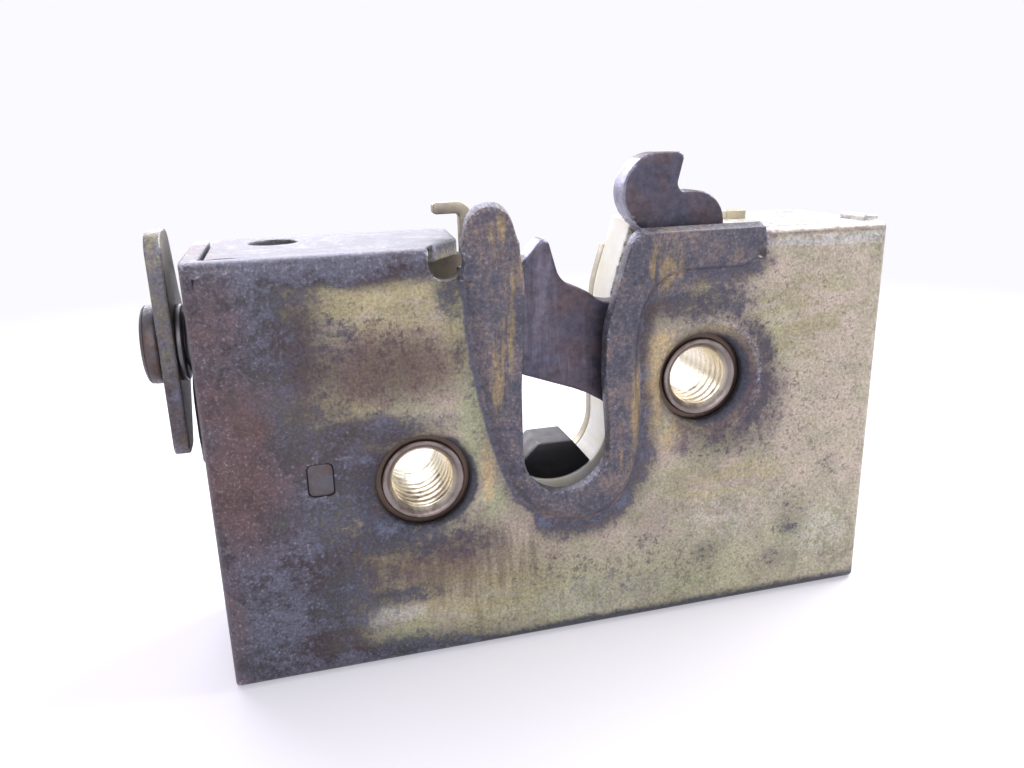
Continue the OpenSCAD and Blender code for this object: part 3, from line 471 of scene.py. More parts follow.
def springWireMaterial(look):
    material, tree = newMaterial("drawnSpringWire")
    place = addNode(tree, "ShaderNodeTexCoord").outputs["Object"]
    cloud = addNode(tree, "ShaderNodeTexNoise", {"Scale": perMm(2.0), "Detail": 5},
                    {"Vector": place}).outputs["Fac"]
    tone = twoTones(tree, look["grey"], look["pale"], cloud)
    finishSurface(tree, tone, (cloud, 0.3, 0.7, 0.3, 0.5), [(cloud, 0.02)], {"Metallic": 0.85})
    return material


# Moulded nylon (PA6), once white: yellowed, with black grease wiped along it; the same dark tone lays painted
# shade on the striker guide's front
nylonLook = {"white": "#efeee6", "yellow": "#e4dec0", "grease": "#57503f"}


def nylonMaterial(look):
    material, tree = newMaterial("mouldedNylonDirty")
    place = addNode(tree, "ShaderNodeTexCoord").outputs["Object"]
    cloud = addNode(tree, "ShaderNodeTexNoise", {"Scale": perMm(6), "Detail": 5, "Roughness": 0.6},
                    {"Vector": place}).outputs["Fac"]
    speck = addNode(tree, "ShaderNodeTexNoise", {"Scale": perMm(0.9), "Detail": 6, "Roughness": 0.7},
                    {"Vector": place}).outputs["Fac"]
    grime = addNode(tree, "ShaderNodeAttribute", {"attribute_name": "grime"}).outputs["Fac"]
    tone = twoTones(tree, look["white"], look["yellow"], cloud, 0.4, 0.7)
    tone = stain(tree, tone, look["grease"], grime, speck, 1.5, 0.16, 0.85)
    finishSurface(tree, tone, (cloud, 0.3, 0.7, 0.4, 0.6), [(speck, 0.03)],
                  {"IOR": 1.53, "Subsurface Weight": 0.2, "Subsurface Radius": (0.004, 0.003, 0.002),
                   "Subsurface Scale": 0.5})
    return material


# Moulded rubber (nitrile): near black, matt, greyed where it faces up, partly by dust and partly as painted
# top light
rubberLook = {"black": "#1f1f22", "dustAndTopLight": "#6d6a6c"}


def rubberMaterial(look):
    material, tree = newMaterial("mouldedRubber")
    place = addNode(tree, "ShaderNodeTexCoord").outputs["Object"]
    cloud = addNode(tree, "ShaderNodeTexNoise", {"Scale": perMm(2.2), "Detail": 6, "Roughness": 0.7},
                    {"Vector": place}).outputs["Fac"]
    facing = addNode(tree, "ShaderNodeSeparateXYZ", {},
                     {0: addNode(tree, "ShaderNodeNewGeometry").outputs["Normal"]}).outputs["Z"]
    # Faces turned up are lightened: dust, and painted light from above
    tone = stain(tree, linearFromHex(look["black"]), look["dustAndTopLight"], facing, cloud, 1.2, 0.5, 0.6)
    finishSurface(tree, tone, (cloud, 0, 1, 0, 1), [(cloud, 0.05)], {"IOR": 1.5, "Specular IOR Level": 0.35})
    return material


looks = {
    "zincSheet": zincSheetMaterial(zincSheetLook), "zincPlate": zincPlateMaterial(zincPlateLook),
    "claw": clawMaterial(clawLook), "bush": bushMaterial(bushLook), "dull": dullSteelMaterial(dullLook),
    "wire": springWireMaterial(wireLook), "nylon": nylonMaterial(nylonLook),
    "rubber": rubberMaterial(rubberLook),
}
print("materials made")


def dress(piece, look, body):
    piece.data.materials.clear()
    piece.data.materials.append(looks[look])
    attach(piece, body)


# Folded case, in mm from its lower left front corner. The rim's edge is its foot, with the width of
# the wall there. Each stain is its middle across and up, its reach across and up, and its weight
caseSheet = {
    "bevel": 0.3, "longestEdge": 6.0, "wide": 96.0, "high": 57.0, "thick": 2.2,
    "foldRadius": 3.0, "foldPower": 3.6,  # a power of 2 leaves the fold round, and more tightens it
    "rimHigh": 1.4, "rimSpread": 1.0, "dish": 0.85, "dishFrom": 5.9, "dishTo": 9.0,
    "ringFar": (9.8, 7.8), "darkestAt": (-20, 200),  # mm and degrees, for the claw's bush and the pawl's
    "tongue": (32, 41), "lipFar": 8.6,
    "cellsAcross": np.r_[3.6:14:1.2, 14.2:80:0.6, 80.5:92.6:1.2],
    "cellsBack": (3.6, 6.5, 10.5, 14.5, 18.5),
    "cellsUp": np.r_[3.6:14:1.2, 14.3:53.6:0.6, 57.4:66:0.6],
    "besideNotchAndTongue": (28.6, 74.2),
    "rimEdge": [(33.3, 60.6, 1.2), (33.1, 54, 1.4), (33.7, 45.5, 2.6), (35.1, 36.5, 2.6), (37.1, 28.5, 2.6),
                (40.3, 21.6, 2.4), (46.1, 18.0, 2.0), (51.9, 18.4, 1.8), (56.0, 22.4, 1.6), (57.6, 28.5, 1.4),
                (57.0, 36.5, 1.3), (57.1, 44.5, 1.3), (59.1, 50.0, 1.3), (62.9, 51.8, 1.3), (66.9, 52.0, 1.2),
                (71.6, 52.2, 0.9), (74.1, 53.4, 0.6), (75.2, 56.2, 0.5), (75.6, 60.6, 0.5)],
    "bushes": [(67.5, 36.4), (27.1, 26.1)],
    "grime": [(14.6, 56.0, 20.0, 2.6, 1.4), (1.5, 48.9, 12.5, 14.0, 1.15), (3.0, 29.4, 13.0, 13.0, 1.1),
              (13.5, 28.4, 8.8, 7.8, 0.95), (3.5, 12.2, 14.5, 16.0, 1.2), (18.3, 34.3, 10.5, 2.2, 0.85),
              (12.4, 0.5, 22.0, 3.4, 1.2), (18.8, 10.4, 9.5, 1.5, 0.75), (31.8, 52.8, 2.4, 4.6, 0.75),
              (24.0, 19.5, 9.5, 3.6, 0.8), (66.4, 47.6, 10.0, 3.0, 0.55), (68.4, 9.4, 2.4, 1.9, 0.5),
              (83.0, 13.0, 3.0, 4.2, 0.36), (88.5, 20.0, 2.4, 3.4, 0.34), (80.5, 6.5, 4.4, 2.6, 0.34),
              (60.0, 14.5, 4.5, 5.5, 0.3)],
    "rust": [(3.6, 29.0, 6.0, 8.5, 0.85), (5.2, 36.0, 3.0, 2.6, 1.1), (2.0, 48.9, 4.6, 8.5, 0.6),
             (2.8, 40.2, 5.6, 4.8, 0.7), (11.1, 30.6, 2.6, 2.0, 0.5), (1.0, 10.0, 2.0, 12.0, 0.5)],
    "brown": [(22.5, 42.4, 10.5, 4.6, 0.95), (26.4, 15.0, 9.5, 4.6, 0.75), (43.7, 12.5, 8.0, 4.4, 0.3),
              (55.4, 7.1, 7.0, 3.3, 0.25), (17.6, 15.2, 7.5, 4.4, 0.55), (13.0, 46.0, 4.0, 8.0, 0.6)],
    "halo": [(21.0, 20.2, 7.0, 3.2, 0.7), (64.5, 47.6, 9.3, 2.6, 0.8), (31.0, 17.0, 6.5, 3.0, 0.65),
             (76.5, 33.0, 4.2, 7.0, 0.75), (71.0, 27.6, 6.5, 2.8, 0.75), (83.5, 12.5, 3.4, 4.4, 0.4)],
    "gold": [(22.0, 51.4, 11.5, 2.4, 0.95), (15.5, 38.1, 5.2, 1.8, 0.8), (24.0, 47.9, 9.0, 1.8, 0.6),
             (31.9, 45.5, 1.6, 8.5, 0.65), (20.9, 15.4, 6.0, 3.6, 0.6), (33.5, 9.5, 11.0, 6.0, 0.6),
             (16.9, 6.5, 6.2, 2.1, 0.85), (71.0, 21.0, 8.0, 3.0, 0.55), (80.6, 44.0, 8.0, 6.0, 0.5)],
    "green": [(32.6, 48.0, 1.6, 8.0, 0.85), (33.9, 35.0, 1.6, 6.5, 0.95), (36.8, 22.5, 1.8, 2.6, 0.8),
              (23.7, 4.9, 4.2, 2.6, 0.7), (48.0, 6.0, 16.0, 5.6, 0.65), (66.0, 6.0, 14.0, 6.0, 0.6),
              (85.9, 10.0, 10.0, 8.0, 0.5), (78.0, 42.0, 5.0, 5.0, 0.55)],
    "ochre": [(35.6, 26.8, 0.8, 4.0, 0.85), (59.6, 36.3, 1.5, 7.0, 0.9), (61.2, 42.0, 1.6, 2.2, 0.75),
              (62.0, 28.5, 2.0, 3.0, 0.55), (69.8, 43.4, 2.6, 1.4, 0.4), (63.5, 50.2, 4.0, 1.5, 0.5)],
    # The pale spot on the right side at (89.1, 37.2) is partly the zinc's paler tone and partly painted light
    # from the right
    "pale": [(52.0, 9.0, 22.0, 7.0, 0.6), (89.1, 37.2, 12.5, 23.0, 1.0), (80.5, 50.0, 11.0, 8.0, 0.7),
             (85.6, 11.5, 14.0, 12.0, 0.42)],
    # The white band at (87.9, 55.2) along the top right fold is painted highlight
    "white": [(20.4, 7.4, 4.8, 1.5, 0.75), (62.1, 33.8, 1.2, 4.6, 0.6), (72.2, 14.9, 9.0, 6.6, 0.32),
              (52.2, 5.4, 12.0, 4.0, 0.42), (87.9, 55.2, 10.1, 1.3, 0.6), (88.0, 10.0, 6.0, 6.0, 0.4)],
    "rimGold": [(60.8, 53.8, 2.6, 3.0, 0.8), (66.0, 55.4, 4.0, 1.2, 0.55), (56.6, 35.2, 0.9, 6.0, 0.7),
                (40.0, 53.5, 1.0, 3.0, 0.8), (38.5, 45.9, 0.9, 6.0, 0.55), (54.9, 25.6, 1.2, 3.0, 0.4),
                (37.6, 58.6, 1.4, 2.0, 0.5), (37.2, 40.0, 0.8, 6.0, 0.5)],
    "streak": [(27.2, 14.4, 17.0, 6.0, 0.6), (45.9, 7.1, 21.0, 6.5, 0.25), (22.0, 42.1, 10.3, 5.2, 0.5)],
    "speck": [(82.0, 30.0, 26.0, 40.0, 0.38), (56.0, 7.0, 26.0, 9.0, 0.45), (22.0, 44.0, 13.0, 10.0, 0.42)],
}


# Smooth curve through points, a cubic between each two with the slope at each from its neighbours
def smoothCurve(given, steps):
    points = np.array(given, float)
    before, after = np.vstack([points[:1], points[:-2]]), np.vstack([points[2:], points[-1:]])
    p1, p2 = points[:-1], points[1:]
    t = np.linspace(0, 1, steps, endpoint=False)[:, None, None]
    curve = 0.5 * (2 * p1 + (p2 - before) * t + (2 * before - 5 * p1 + 4 * p2 - after) * t ** 2
                   + (3 * p1 - before - 3 * p2 + after) * t ** 3)
    return np.vstack([curve.transpose(1, 0, 2).reshape(-1, points.shape[1]), points[-1:]])


# Cells of 0.6 mm round the rim and the bushes, and 1.2 mm towards the case's edges
case = wornCopy("lock_case", caseSheet["bevel"], caseSheet["longestEdge"],
                cuts=(caseSheet["cellsAcross"], caseSheet["cellsBack"], caseSheet["cellsUp"]),
                firstCuts=caseSheet["besideNotchAndTongue"])
x, y, z = casePoints(case).T
rimCurve = smoothCurve(caseSheet["rimEdge"], 6)
rimLine, rimWall = rimCurve[:, :2], rimCurve[:, 2]
rimInside = insideLine(x, z, rimLine)
rimReach, nearest = toLine(x, z, rimLine)

# The rim flows out of the sheet: y = -height * smoothstep((d + spread) / (wall + spread)), where d
# is the distance inside the rim's foot, taken from the CAD wall's own slope where there's a wall
wall, rimHigh, rimSpread = rimWall[nearest], caseSheet["rimHigh"], caseSheet["rimSpread"]
onWall = rimInside & (y < 0.02) & (y > 0.01 - rimHigh) & (rimReach < wall * 1.3) & (z < caseSheet["high"])
byFoot = ~rimInside & (np.abs(y) < 0.02) & (rimReach < rimSpread) & (z > 15) & (z < 55)
along = np.where(onWall, np.clip(-y / rimHigh, 0, 1) * wall, -rimReach)
y = np.where(onWall | byFoot, -rimHigh * smoothStep(along + rimSpread, 0, wall + rimSpread), y)

# The sheet dips round each bush: the whole dish at the hole, nothing farther out
for cx, cz in caseSheet["bushes"]:
    fromBush = np.hypot(x - cx, z - cz)
    dip = caseSheet["dish"] * (1 - smoothStep(fromBush, caseSheet["dishFrom"], caseSheet["dishTo"]))
    inSheet = (y < caseSheet["thick"]) & (y > -0.02)
    y = np.where(inSheet, y + dip * (1 - np.clip(y, 0, caseSheet["thick"]) / caseSheet["thick"]), y)

# Folds tighter than the CAD's round ones: points go out to m^power + w^power = 1, where m and w run
# from 0 to 1 towards the corner, sideways or upright and inward
fold, power = caseSheet["foldRadius"], caseSheet["foldPower"]
sideways = np.clip(np.maximum(fold - x, x - (caseSheet["wide"] - fold)) / fold, 0, 1)
upright = np.clip(np.maximum(fold - z, z - (caseSheet["high"] - fold)) / fold, 0, 1)
inward = np.clip((fold - y) / fold, 0, 1)
most = np.maximum(sideways, upright)
reach = np.hypot(most, inward)
square = np.maximum((most ** power + inward ** power) ** (1 / power), 1e-6)
onFold = (most > 0.02) & (inward > 0.02) & (y > -0.02)
grow = np.where(onFold, (reach / square - 1) * smoothStep(reach, 0.3, 1.0), 0) * fold
x = x + np.sign(x - caseSheet["wide"] / 2) * sideways * grow
z, y = z + np.sign(z - caseSheet["high"] / 2) * upright * grow, np.maximum(y - inward * grow, -rimHigh)
moveTo(case, np.stack([x, y, z], axis=-1))
print("case shaped,", len(case.data.polygons), "faces")

# Where each stain, finish, painted highlight and painted shade lies, from 0 to about 1
front = 1 - smoothStep(y, 2.3, 5.0)
leftFlange = x < 0.4
skin, wide, high = 0.3, caseSheet["wide"], caseSheet["high"]
outside = np.clip(front + (x < skin) + (z > high - skin) + (z < skin) + (x > wide - skin), 0, 1)
topLeft = (z > 56.2) * (1 - smoothStep(x, 34, 40))
topRight = (z > 56.2) * (x > 60)
onTongue = (x > caseSheet["tongue"][0]) & (x < caseSheet["tongue"][1]) & (z > 55) & (y < 1.0)
rimSigned = rimReach * np.where(rimInside & (y < 1.6), 1, -1)
steelField = np.maximum(1.3 * onTongue, 1.2 * smoothStep(rimSigned, -0.9, 0.4)) * (y < 1.9)
spots = {name: softSpots(x, z, caseSheet[name])
         for name in ("grime", "rust", "brown", "halo", "gold", "green", "ochre", "pale", "white",
                      "rimGold", "streak", "speck")}
# Dirt gathers outside the rim: exp(-(distance / 3.2 mm)^2), more on its right and under it
rimDirt = np.where(rimSigned < 0.3, np.exp(-(np.minimum(rimSigned, 0) / 3.2) ** 2), 0) * front
rimDirt *= np.where(x < 42, 0.45, 1.0) * (1 - 0.6 * smoothStep(z, 52, 55) * (x > 60))
# Rings round each bush: dirt at a distance, brown inside it, and painted shade in the gap round the bush,
# heavier on its right
ringDirt, ringBrown, gapShade = np.zeros_like(x), np.zeros_like(x), np.zeros_like(x)
for (cx, cz), far, darkest in zip(caseSheet["bushes"], caseSheet["ringFar"], caseSheet["darkestAt"]):
    fromBush, around = np.hypot(x - cx, z - cz), np.arctan2(z - cz, x - cx)
    toward, toRight = np.cos(around - math.radians(darkest)), np.cos(around - math.radians(-15))
    reach = np.where(fromBush < far, 1.7, 2.3)
    ringDirt = np.maximum(ringDirt, np.exp(-((fromBush - far) / reach) ** 2) * (0.46 + 0.46 * toward))
    within = 1 - smoothStep(fromBush, far - 3.0, far + 1.5)
    ringBrown = np.maximum(ringBrown, (0.75 + 0.2 * toward) * within)
    gapShade = np.maximum(gapShade, np.exp(-((fromBush - 6.4) / 0.9) ** 2) * (0.6 + 0.7 * toRight))
# Painted light: painted shade along the top right fold, a painted highlight band below it, and a painted
# highlight arc on the claw bush's dish lip
bendShade = np.exp(-((z - 56.3) / 0.5) ** 2) * (x > 76)
bendHighlight = 0.5 * np.exp(-((z - 55.0) / 0.6) ** 2) * (x > 76) * front
clawX, clawZ = caseSheet["bushes"][0]
lipAngle = np.arctan2(z - clawZ, x - clawX) - math.radians(35)
lipHighlight = np.exp(-((np.hypot(x - clawX, z - clawZ) - caseSheet["lipFar"]) / 0.55) ** 2) * front
lipHighlight *= 0.42 * (0.45 + 0.55 * np.cos(lipAngle))

underStains = np.maximum.reduce([spots["grime"] * front, rimDirt, 0.3 * topLeft, 0.6 * leftFlange])
caseFields = {
    # The grime list also lays painted shade: in the gap round each bush, and along the bottom fold through
    # (1.5 - 0.55 * z) on the outer faces
    "grime": [spots["grime"] * front, 0.6 * rimDirt, 0.5 * ringDirt * front, gapShade * (y < 2.3),
              0.85 * topLeft, 1.1 * leftFlange, 0.3 * (1 - outside), (1.5 - 0.55 * z) * outside],
    "under": [0.62 * underStains - 0.12],
    "rust": [spots["rust"] * outside, 0.5 * leftFlange],
    # brown also holds the painted shade along the top right fold
    "brown": [spots["brown"] * front, ringBrown * front, 0.8 * bendShade, 0.15 * topRight],
    "halo": [spots["halo"] * front, ringDirt * front, 0.95 * rimDirt * front],
    # pale on the top right flange and white on both top flanges are painted highlight, as they face up into
    # the light
    "pale": [spots["pale"] * outside, 0.5 * topRight],
    "white": [spots["white"] * front, 0.85 * topRight, 0.3 * topLeft],
    "speck": [np.maximum(spots["speck"], 0.1) * (0.4 + 0.6 * front)],
    "frost": [0.34 * np.clip(spots["grime"], 0, 1) * front, 0.25 * steelField],
    "steel": [steelField],
    "steelUnder": [0.3 * steelField],
    # sharp: pale wear on sharp edges, plus the painted highlights on the top right fold and the dish's lip
    "sharp": [smoothStep(edgeSharpness(case), 0.05, 0.28), bendHighlight, lipHighlight],
}
for name in ("gold", "green", "ochre", "rimGold", "streak"):
    caseFields[name] = [spots[name] * front]
for name, covers in caseFields.items():
    setField(case, name, np.maximum.reduce(covers))
dress(case, "zincSheet", "case")
print("case dressed")

# Plates and levers punched from the same kind of sheet
plates = {
    "back_plate": {"bevel": 0.2, "longestEdge": 2.4, "body": "case", "grime": 0.42},
    "release_lever": {"bevel": 0.25, "longestEdge": 1.5, "body": "release_lever", "grime": 0.3},
}
for nodeName, plate in plates.items():
    piece = wornCopy(nodeName, plate["bevel"], plate["longestEdge"])
    setField(piece, "grime", np.full(len(piece.data.vertices), plate["grime"]))
    dress(piece, "zincPlate", plate["body"])
sideLever = {"bevel": 0.3, "longestEdge": 1.2, "grime": 0.5, "under": 0.45}
piece = wornCopy("side_lever", sideLever["bevel"], sideLever["longestEdge"])
for name in ("grime", "under"):
    setField(piece, name, np.full(len(piece.data.vertices), sideLever[name]))
setField(piece, "sharp", smoothStep(edgeSharpness(piece), 0.05, 0.28))
dress(piece, "zincSheet", "side_lever")

# Claw and pawl: rubbed along the horn and on their tops, and a painted highlight on their left-facing faces
# high up
clawWear = {
    "claw": {"bevel": 0.35, "longestEdge": 0.9, "litFrom": 55,
             "rubbed": [(44, 49, 3, 9, 0.6), (64, 67, 6, 3, 0.2), (50, 40, 8, 3, 0.4)]},
    "pawl": {"bevel": 0.3, "longestEdge": 1.2, "litFrom": 55, "rubbed": [(37, 44, 3, 4, 0.7)]},
}
for nodeName, wear in clawWear.items():
    piece = wornCopy(nodeName, wear["bevel"], wear["longestEdge"])
    px, py, pz = casePoints(piece).T
    setField(piece, "worn", softSpots(px, pz, wear["rubbed"]))
    # Painted highlight: faces turned to the left, above the given height, get the pale edge tone
    litSide = 0.8 * (pointNormals(piece)[:, 0] < -0.5) * (pz > wear["litFrom"])
    setField(piece, "sharp", np.maximum(smoothStep(edgeSharpness(piece), 0.05, 0.3), litSide))
    dress(piece, "claw", nodeName)
print("plates, claw and pawl dressed")


# Threaded bush: a turned profile whose inner wall follows a 60-degree thread, worn shallow, with
# radius = crest + depth * (a rounded triangle wave of distance / pitch - angle)
bush = {"minor": 4.2, "pitch": 1.5, "neck": 5.65, "barrel": 6.5, "front": 1.6, "shoulder": 2.2,
        "barrelEnd": 14.2, "back": 16.8, "cone": 0.9, "sides": 96, "depths": (0.09, 0.2)}


def threadWave(turns):
    wave = np.abs((turns % 1) * 2 - 1)
    return smoothStep(wave, 0.12, 0.88) * 0.5 + np.clip(wave, 0.1, 0.9) * 0.5


threadStart, threadEnd = bush["front"] + bush["cone"], bush["back"] - 0.6
mouth = bush["minor"] + bush["cone"]
# Radius, distance from the case's front, corner
bushProfile = [
    (bush["minor"] + bush["cone"] * 0.55, bush["front"] + 0.3, 0.15), (mouth, bush["front"], 0.2),
    (bush["neck"] - 0.05, bush["front"] + 0.02, 0.25), (bush["neck"], bush["front"] + 0.5, 0.1),
    (bush["neck"], bush["shoulder"], 0), (bush["barrel"], bush["shoulder"], 0.1),
    (bush["barrel"], bush["barrelEnd"], 0.1), (bush["neck"], bush["barrelEnd"], 0),
    (bush["neck"], bush["back"], 0.3), (bush["minor"] + 0.6, bush["back"], 0.2),
] + [(bush["minor"], t, 0) for t in np.linspace(threadStart, threadEnd, 110)[::-1]]
radius, along, angle = turnProfile(bushProfile, bush["sides"])
inBore = (np.abs(radius - bush["minor"]) < 1e-6) & (along >= threadStart)
run = smoothStep(along, threadStart - 0.01, threadStart + 0.7)
run *= 1 - smoothStep(along, threadEnd - 0.7, threadEnd)
thread = np.where(inBore, threadWave(along / bush["pitch"] - angle / (2 * np.pi)) * run, 0)
for nodeName, (cx, cz), depth in zip(("claw_bush", "pawl_bush"), caseSheet["bushes"], bush["depths"]):
    cut = radius + depth * thread
    grid = np.stack([cx + cut * np.cos(angle), along, cz + cut * np.sin(angle)], axis=-1)
    piece = gridMesh(nodeName + "Threaded", grid, closedBothWays=True)
    px, py, pz = casePoints(piece).T
    r = np.hypot(px - cx, pz - cz)
    setField(piece, "bore", smoothStep(-r, -5.05, -4.9) * smoothStep(py, 1.9, 2.6))
    setField(piece, "grime", np.where(r < 5, 0.05 + 0.35 * (pz < cz - 2.5),
                                      0.3 + 0.55 * smoothStep(r, 5.2, 5.7)))
    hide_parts(nodeName)
    dress(piece, "bush", "case")
print("bushes threaded")

# Coil springs: a helix round its bush, at centre + radius * (cos, sin) of the turn, with straight
# legs along the turn's own direction. The claw spring's legs lie on the same side
springs = {
    "claw_spring": {"centre": caseSheet["bushes"][0], "coilRadius": 8.1, "wire": 1.5, "start": 7.75,
                    "pitch": 1.75, "from": 99.72, "turns": 3, "firstLeg": 15, "lastLeg": 6, "sameSide": True},
    "pawl_spring": {"centre": caseSheet["bushes"][1], "coilRadius": 8.0, "wire": 1.4, "start": 7.3,
                    "pitch": 1.65, "from": 190, "turns": 3.5, "firstLeg": 6, "lastLeg": 5, "sameSide": False},
}
for nodeName, spring in springs.items():
    turn = np.radians(spring["from"] + np.linspace(0, 360 * spring["turns"], int(40 * spring["turns"])))
    cx, cz = spring["centre"]
    coil = np.stack([cx + spring["coilRadius"] * np.cos(turn),
                     spring["start"] + spring["pitch"] * (turn - turn[0]) / (2 * np.pi),
                     cz + spring["coilRadius"] * np.sin(turn)], axis=-1)
    firstWay = np.array([math.sin(turn[0]), 0, -math.cos(turn[0])])
    lastWay = -firstWay if spring["sameSide"] else np.array([-math.sin(turn[-1]), 0, math.cos(turn[-1])])
    steps = np.linspace(1, 0.04, 12)[:, None]
    path = np.concatenate([coil[0] + firstWay * spring["firstLeg"] * steps, coil,
                           coil[-1] + lastWay * spring["lastLeg"] * steps[::-1]])
    piece = wireAlong(nodeName + "Coil", path, spring["wire"])
    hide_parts(nodeName)
    dress(piece, "wire", "case")

# Side lever's spring: part of a ring round the rivet, a bend and a leg down
sideSpring = {"x": -0.6, "centre": (12.6, 45.3), "radius": 3.85, "wire": 1.1, "degrees": (-60, 240),
              "leg": [(9.2, 29.7), (9.3, 33.5), (9.4, 37.3)], "bendBy": (9.6, 41.0)}
turn = np.radians(np.linspace(*sideSpring["degrees"], 50))
ring = sideSpring["centre"] + sideSpring["radius"] * np.stack([np.cos(turn), np.sin(turn)], axis=-1)
leg = np.array(sideSpring["leg"])
t = np.linspace(0, 1, 12)[1:-1, None]
bent = (1 - t) ** 2 * leg[-1] + 2 * t * (1 - t) * np.array(sideSpring["bendBy"]) + t ** 2 * ring[0]
path = np.insert(np.concatenate([leg, bent, ring]), 0, sideSpring["x"], axis=1)
piece = wireAlong("side_springCoil", path, sideSpring["wire"])
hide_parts("side_spring")
dress(piece, "wire", "case")
print("springs wound")

# Side rivet: a turned profile with rounded heads, (distance out from the axis, along x, corner)
sideRivet = {"centre": sideSpring["centre"], "sides": 72,
             "profile": [(0.01, -6.55, 0), (3.0, -6.5, 0), (4.6, -6.45, 0.7), (5.15, -5.9, 0.5),
                         (5.15, -4.6, 0.3), (4.9, -4.26, 0.1), (3.0, -4.26, 0), (3.0, 2.2, 0),
                         (4.2, 2.21, 0.05), (4.2, 2.9, 0.4), (3.4, 3.1, 0.3), (0.01, 3.1, 0)]}
radius, along, angle = turnProfile(sideRivet["profile"], sideRivet["sides"])
piece = gridMesh("side_rivetHead", np.stack([along, sideRivet["centre"][0] + radius * np.cos(angle),
                                             sideRivet["centre"][1] + radius * np.sin(angle)], axis=-1))
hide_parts("side_rivet")
dress(piece, "dull", "case")

# The rest: look, body, slot, bevel, longest edge
smallPieces = {
    "spacer_post": ("dull", "case", "dull_steel", 0.08, 1.5),
    "claw_stop_pin": ("dull", "case", "dull_steel", 0.2, 1.5),
    "pawl_drive_pin": ("dull", "pawl", "dull_steel", 0.2, 1.5),
    "release_rivet": ("dull", "case", "dull_steel", 0.2, 1.5),
    "slide_pin_upper": ("dull", "case", "dull_steel", 0.2, 1.5),
    "slide_pin_lower": ("dull", "case", "dull_steel", 0.2, 1.5),
    "slide_detent": ("wire", "case", "spring_steel", 0.2, 1.5),
    "side_washer": ("wire", "case", "spring_steel", 0.2, 1.5),
    "claw_stop_sleeve": ("rubber", "case", "rubber", 0.2, 1.5),
    "striker_buffer": ("rubber", "case", "rubber", 0.2, 1.5),
    "lock_slide": ("nylon", "lock_slide", "nylon", 0.2, 1.0),
    "striker_guide": ("nylon", "case", "nylon", 0.2, 1.0),
}
tenon = {"end": 2.1, "halfSize": (1.2, 1.0, 1.75), "spread": (0.2, 0.0, 0.2)}  # the post's, at the front
nylonGrimeAndShade = {"slide": 0.35, "guide": 0.1, "guideFrontShade": 0.33}
for nodeName, (look, body, slotName, bevelWidth, longestEdge) in smallPieces.items():
    piece = wornCopy(nodeName, bevelWidth, longestEdge)
    points = casePoints(piece)
    px, py, pz = points.T
    if nodeName == "spacer_post":
        # Hammered out, so that it fills its hole
        atFront = points[py < tenon["end"]]
        away = np.clip((points - (atFront.max(0) + atFront.min(0)) / 2) / tenon["halfSize"], -1, 1)
        moveTo(piece, points + away * tenon["spread"] * (py < tenon["end"])[:, None])
    if nodeName == "lock_slide":
        setField(piece, "grime", np.full(len(px), nylonGrimeAndShade["slide"]))
    if nodeName == "striker_guide":
        # Painted shade: the striker guide's front, next to the case sheet and high up, is darkened with the
        # grease tone
        shadedFront = (1 - smoothStep(py, 7.2, 8.6)) * smoothStep(pz, 30, 38)
        setField(piece, "grime", nylonGrimeAndShade["guide"] + nylonGrimeAndShade["guideFrontShade"] * shadedFront)
    dress(piece, look, body)
print("small pieces dressed")

# Stage: a pale floor that runs into a white surround
stage = {"floor": "#f4f1f8", "glow": "#fbfaff", "shadeStart": 0.10, "shadeEnd": 0.34, "glowUnder": 0.35,
         "fill": "#f6f5ff", "fillStrength": 0.55, "half": 4}


# One for the rays that see the background: the camera's, and those off metal or through glass
def backgroundRays(tree):
    path = addNode(tree, "ShaderNodeLightPath")
    seen = addNode(tree, "ShaderNodeMath", {"operation": "MAXIMUM"},
                   {0: path.outputs["Is Camera Ray"], 1: path.outputs["Is Glossy Ray"]}).outputs[0]
    return addNode(tree, "ShaderNodeMath", {"operation": "MAXIMUM"},
                   {0: seen, 1: path.outputs["Is Transmission Ray"]}).outputs[0]


floorMesh = bpy.data.meshes.new("floor")
corners = [(x * stage["half"], y * stage["half"], 0) for x, y in ((-1, -1), (1, -1), (1, 1), (-1, 1))]
floorMesh.from_pydata(corners, [], [(0, 1, 2, 3)])
floor = bpy.data.objects.new("floor", floorMesh)
bpy.context.collection.objects.link(floor)
material, tree = newMaterial("paleFloor")
place = addNode(tree, "ShaderNodeTexCoord").outputs["Object"]
away = addNode(tree, "ShaderNodeVectorMath", {"operation": "LENGTH"}, {0: place}).outputs["Value"]
blend = addNode(tree, "ShaderNodeMapRange",
                {"interpolation_type": "SMOOTHSTEP", "From Min": stage["shadeStart"],
                 "From Max": stage["shadeEnd"], "To Min": stage["glowUnder"]},
                {"Value": away}).outputs["Result"]
share = addNode(tree, "ShaderNodeMath", {"operation": "MULTIPLY"},
                {0: blend, 1: backgroundRays(tree)}).outputs[0]
matte = addNode(tree, "ShaderNodeBsdfDiffuse", {"Color": linearFromHex(stage["floor"])}).outputs[0]
glow = addNode(tree, "ShaderNodeEmission",
               {"Color": linearFromHex(stage["glow"]), "Strength": 1.0}).outputs[0]
mixed = addNode(tree, "ShaderNodeMixShader", {}, {0: share, 1: matte, 2: glow})
addNode(tree, "ShaderNodeOutputMaterial", {}, {"Surface": mixed.outputs[0]})
floorMesh.materials.append(material)

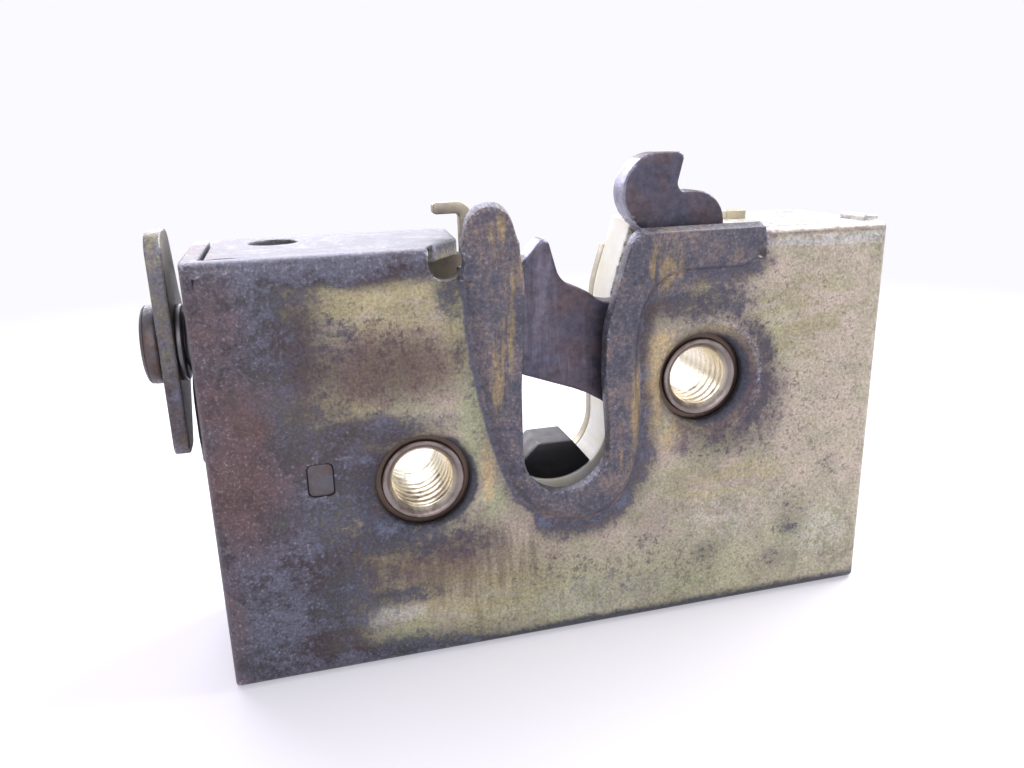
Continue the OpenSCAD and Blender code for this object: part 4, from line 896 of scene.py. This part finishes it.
scene = bpy.context.scene
world = bpy.data.worlds.new("paleRoom")
scene.world = world
world.use_nodes = True
tree = world.node_tree
tree.nodes.clear()
fill = addNode(tree, "ShaderNodeBackground",
               {"Color": linearFromHex(stage["fill"]), "Strength": stage["fillStrength"]}).outputs[0]
seenSky = addNode(tree, "ShaderNodeBackground",
                  {"Color": linearFromHex(stage["glow"]), "Strength": 1.0}).outputs[0]
mixed = addNode(tree, "ShaderNodeMixShader", {}, {0: backgroundRays(tree), 1: fill, 2: seenSky})
addNode(tree, "ShaderNodeOutputWorld", {}, {"Surface": mixed.outputs[0]})

# Soft lamps: place and aim in metres, size, watts, tint
lamps = {
    "windowRight": ((0.42, 0.10, 0.46), (0.0, 0.0, 0.03), 0.40, 4.5, "#ffffff"),
    "softFront": ((-0.05, -0.55, 0.35), (0.0, 0.0, 0.03), 0.45, 1.4, "#fdfbff"),
    "behind": ((-0.1, 0.45, 0.35), (0.0, 0.0, 0.02), 0.5, 4.0, "#f4f2ff"),
}
for lampName, (at, aim, size, watts, tint) in lamps.items():
    lamp = bpy.data.lights.new(lampName, "AREA")
    lamp.size, lamp.energy, lamp.color = size, watts, linearFromHex(tint)[:3]
    light = bpy.data.objects.new(lampName, lamp)
    bpy.context.collection.objects.link(light)
    back = unitRows(np.array(at) - np.array(aim))
    side = unitRows(np.cross([0, 0, 1.0], back))
    up = np.cross(back, side)
    light.matrix_world = Matrix([[side[i], up[i], back[i], at[i]] for i in range(3)] + [[0, 0, 0, 1]])

# The photo's own view, worked out from the case's edges
view = {"right": (0.96336, -0.26693, -0.02605), "up": (0.10067, 0.26989, 0.95762),
        "forward": (0.24858, 0.92516, -0.28688), "at": (-0.032679, -0.112656, 0.070198), "lens": 29.247}
camera = bpy.data.objects.new("photoCamera", bpy.data.cameras.new("photoCamera"))
bpy.context.collection.objects.link(camera)
camera.data.sensor_width = 36
camera.data.lens = view["lens"]
camera.data.clip_start = 0.005
camera.matrix_world = Matrix([[view["right"][i], view["up"][i], -view["forward"][i], view["at"][i]]
                              for i in range(3)] + [[0, 0, 0, 1]])
scene.camera = camera
scene.view_settings.view_transform = "Standard"
print("stage, lamps and camera set")
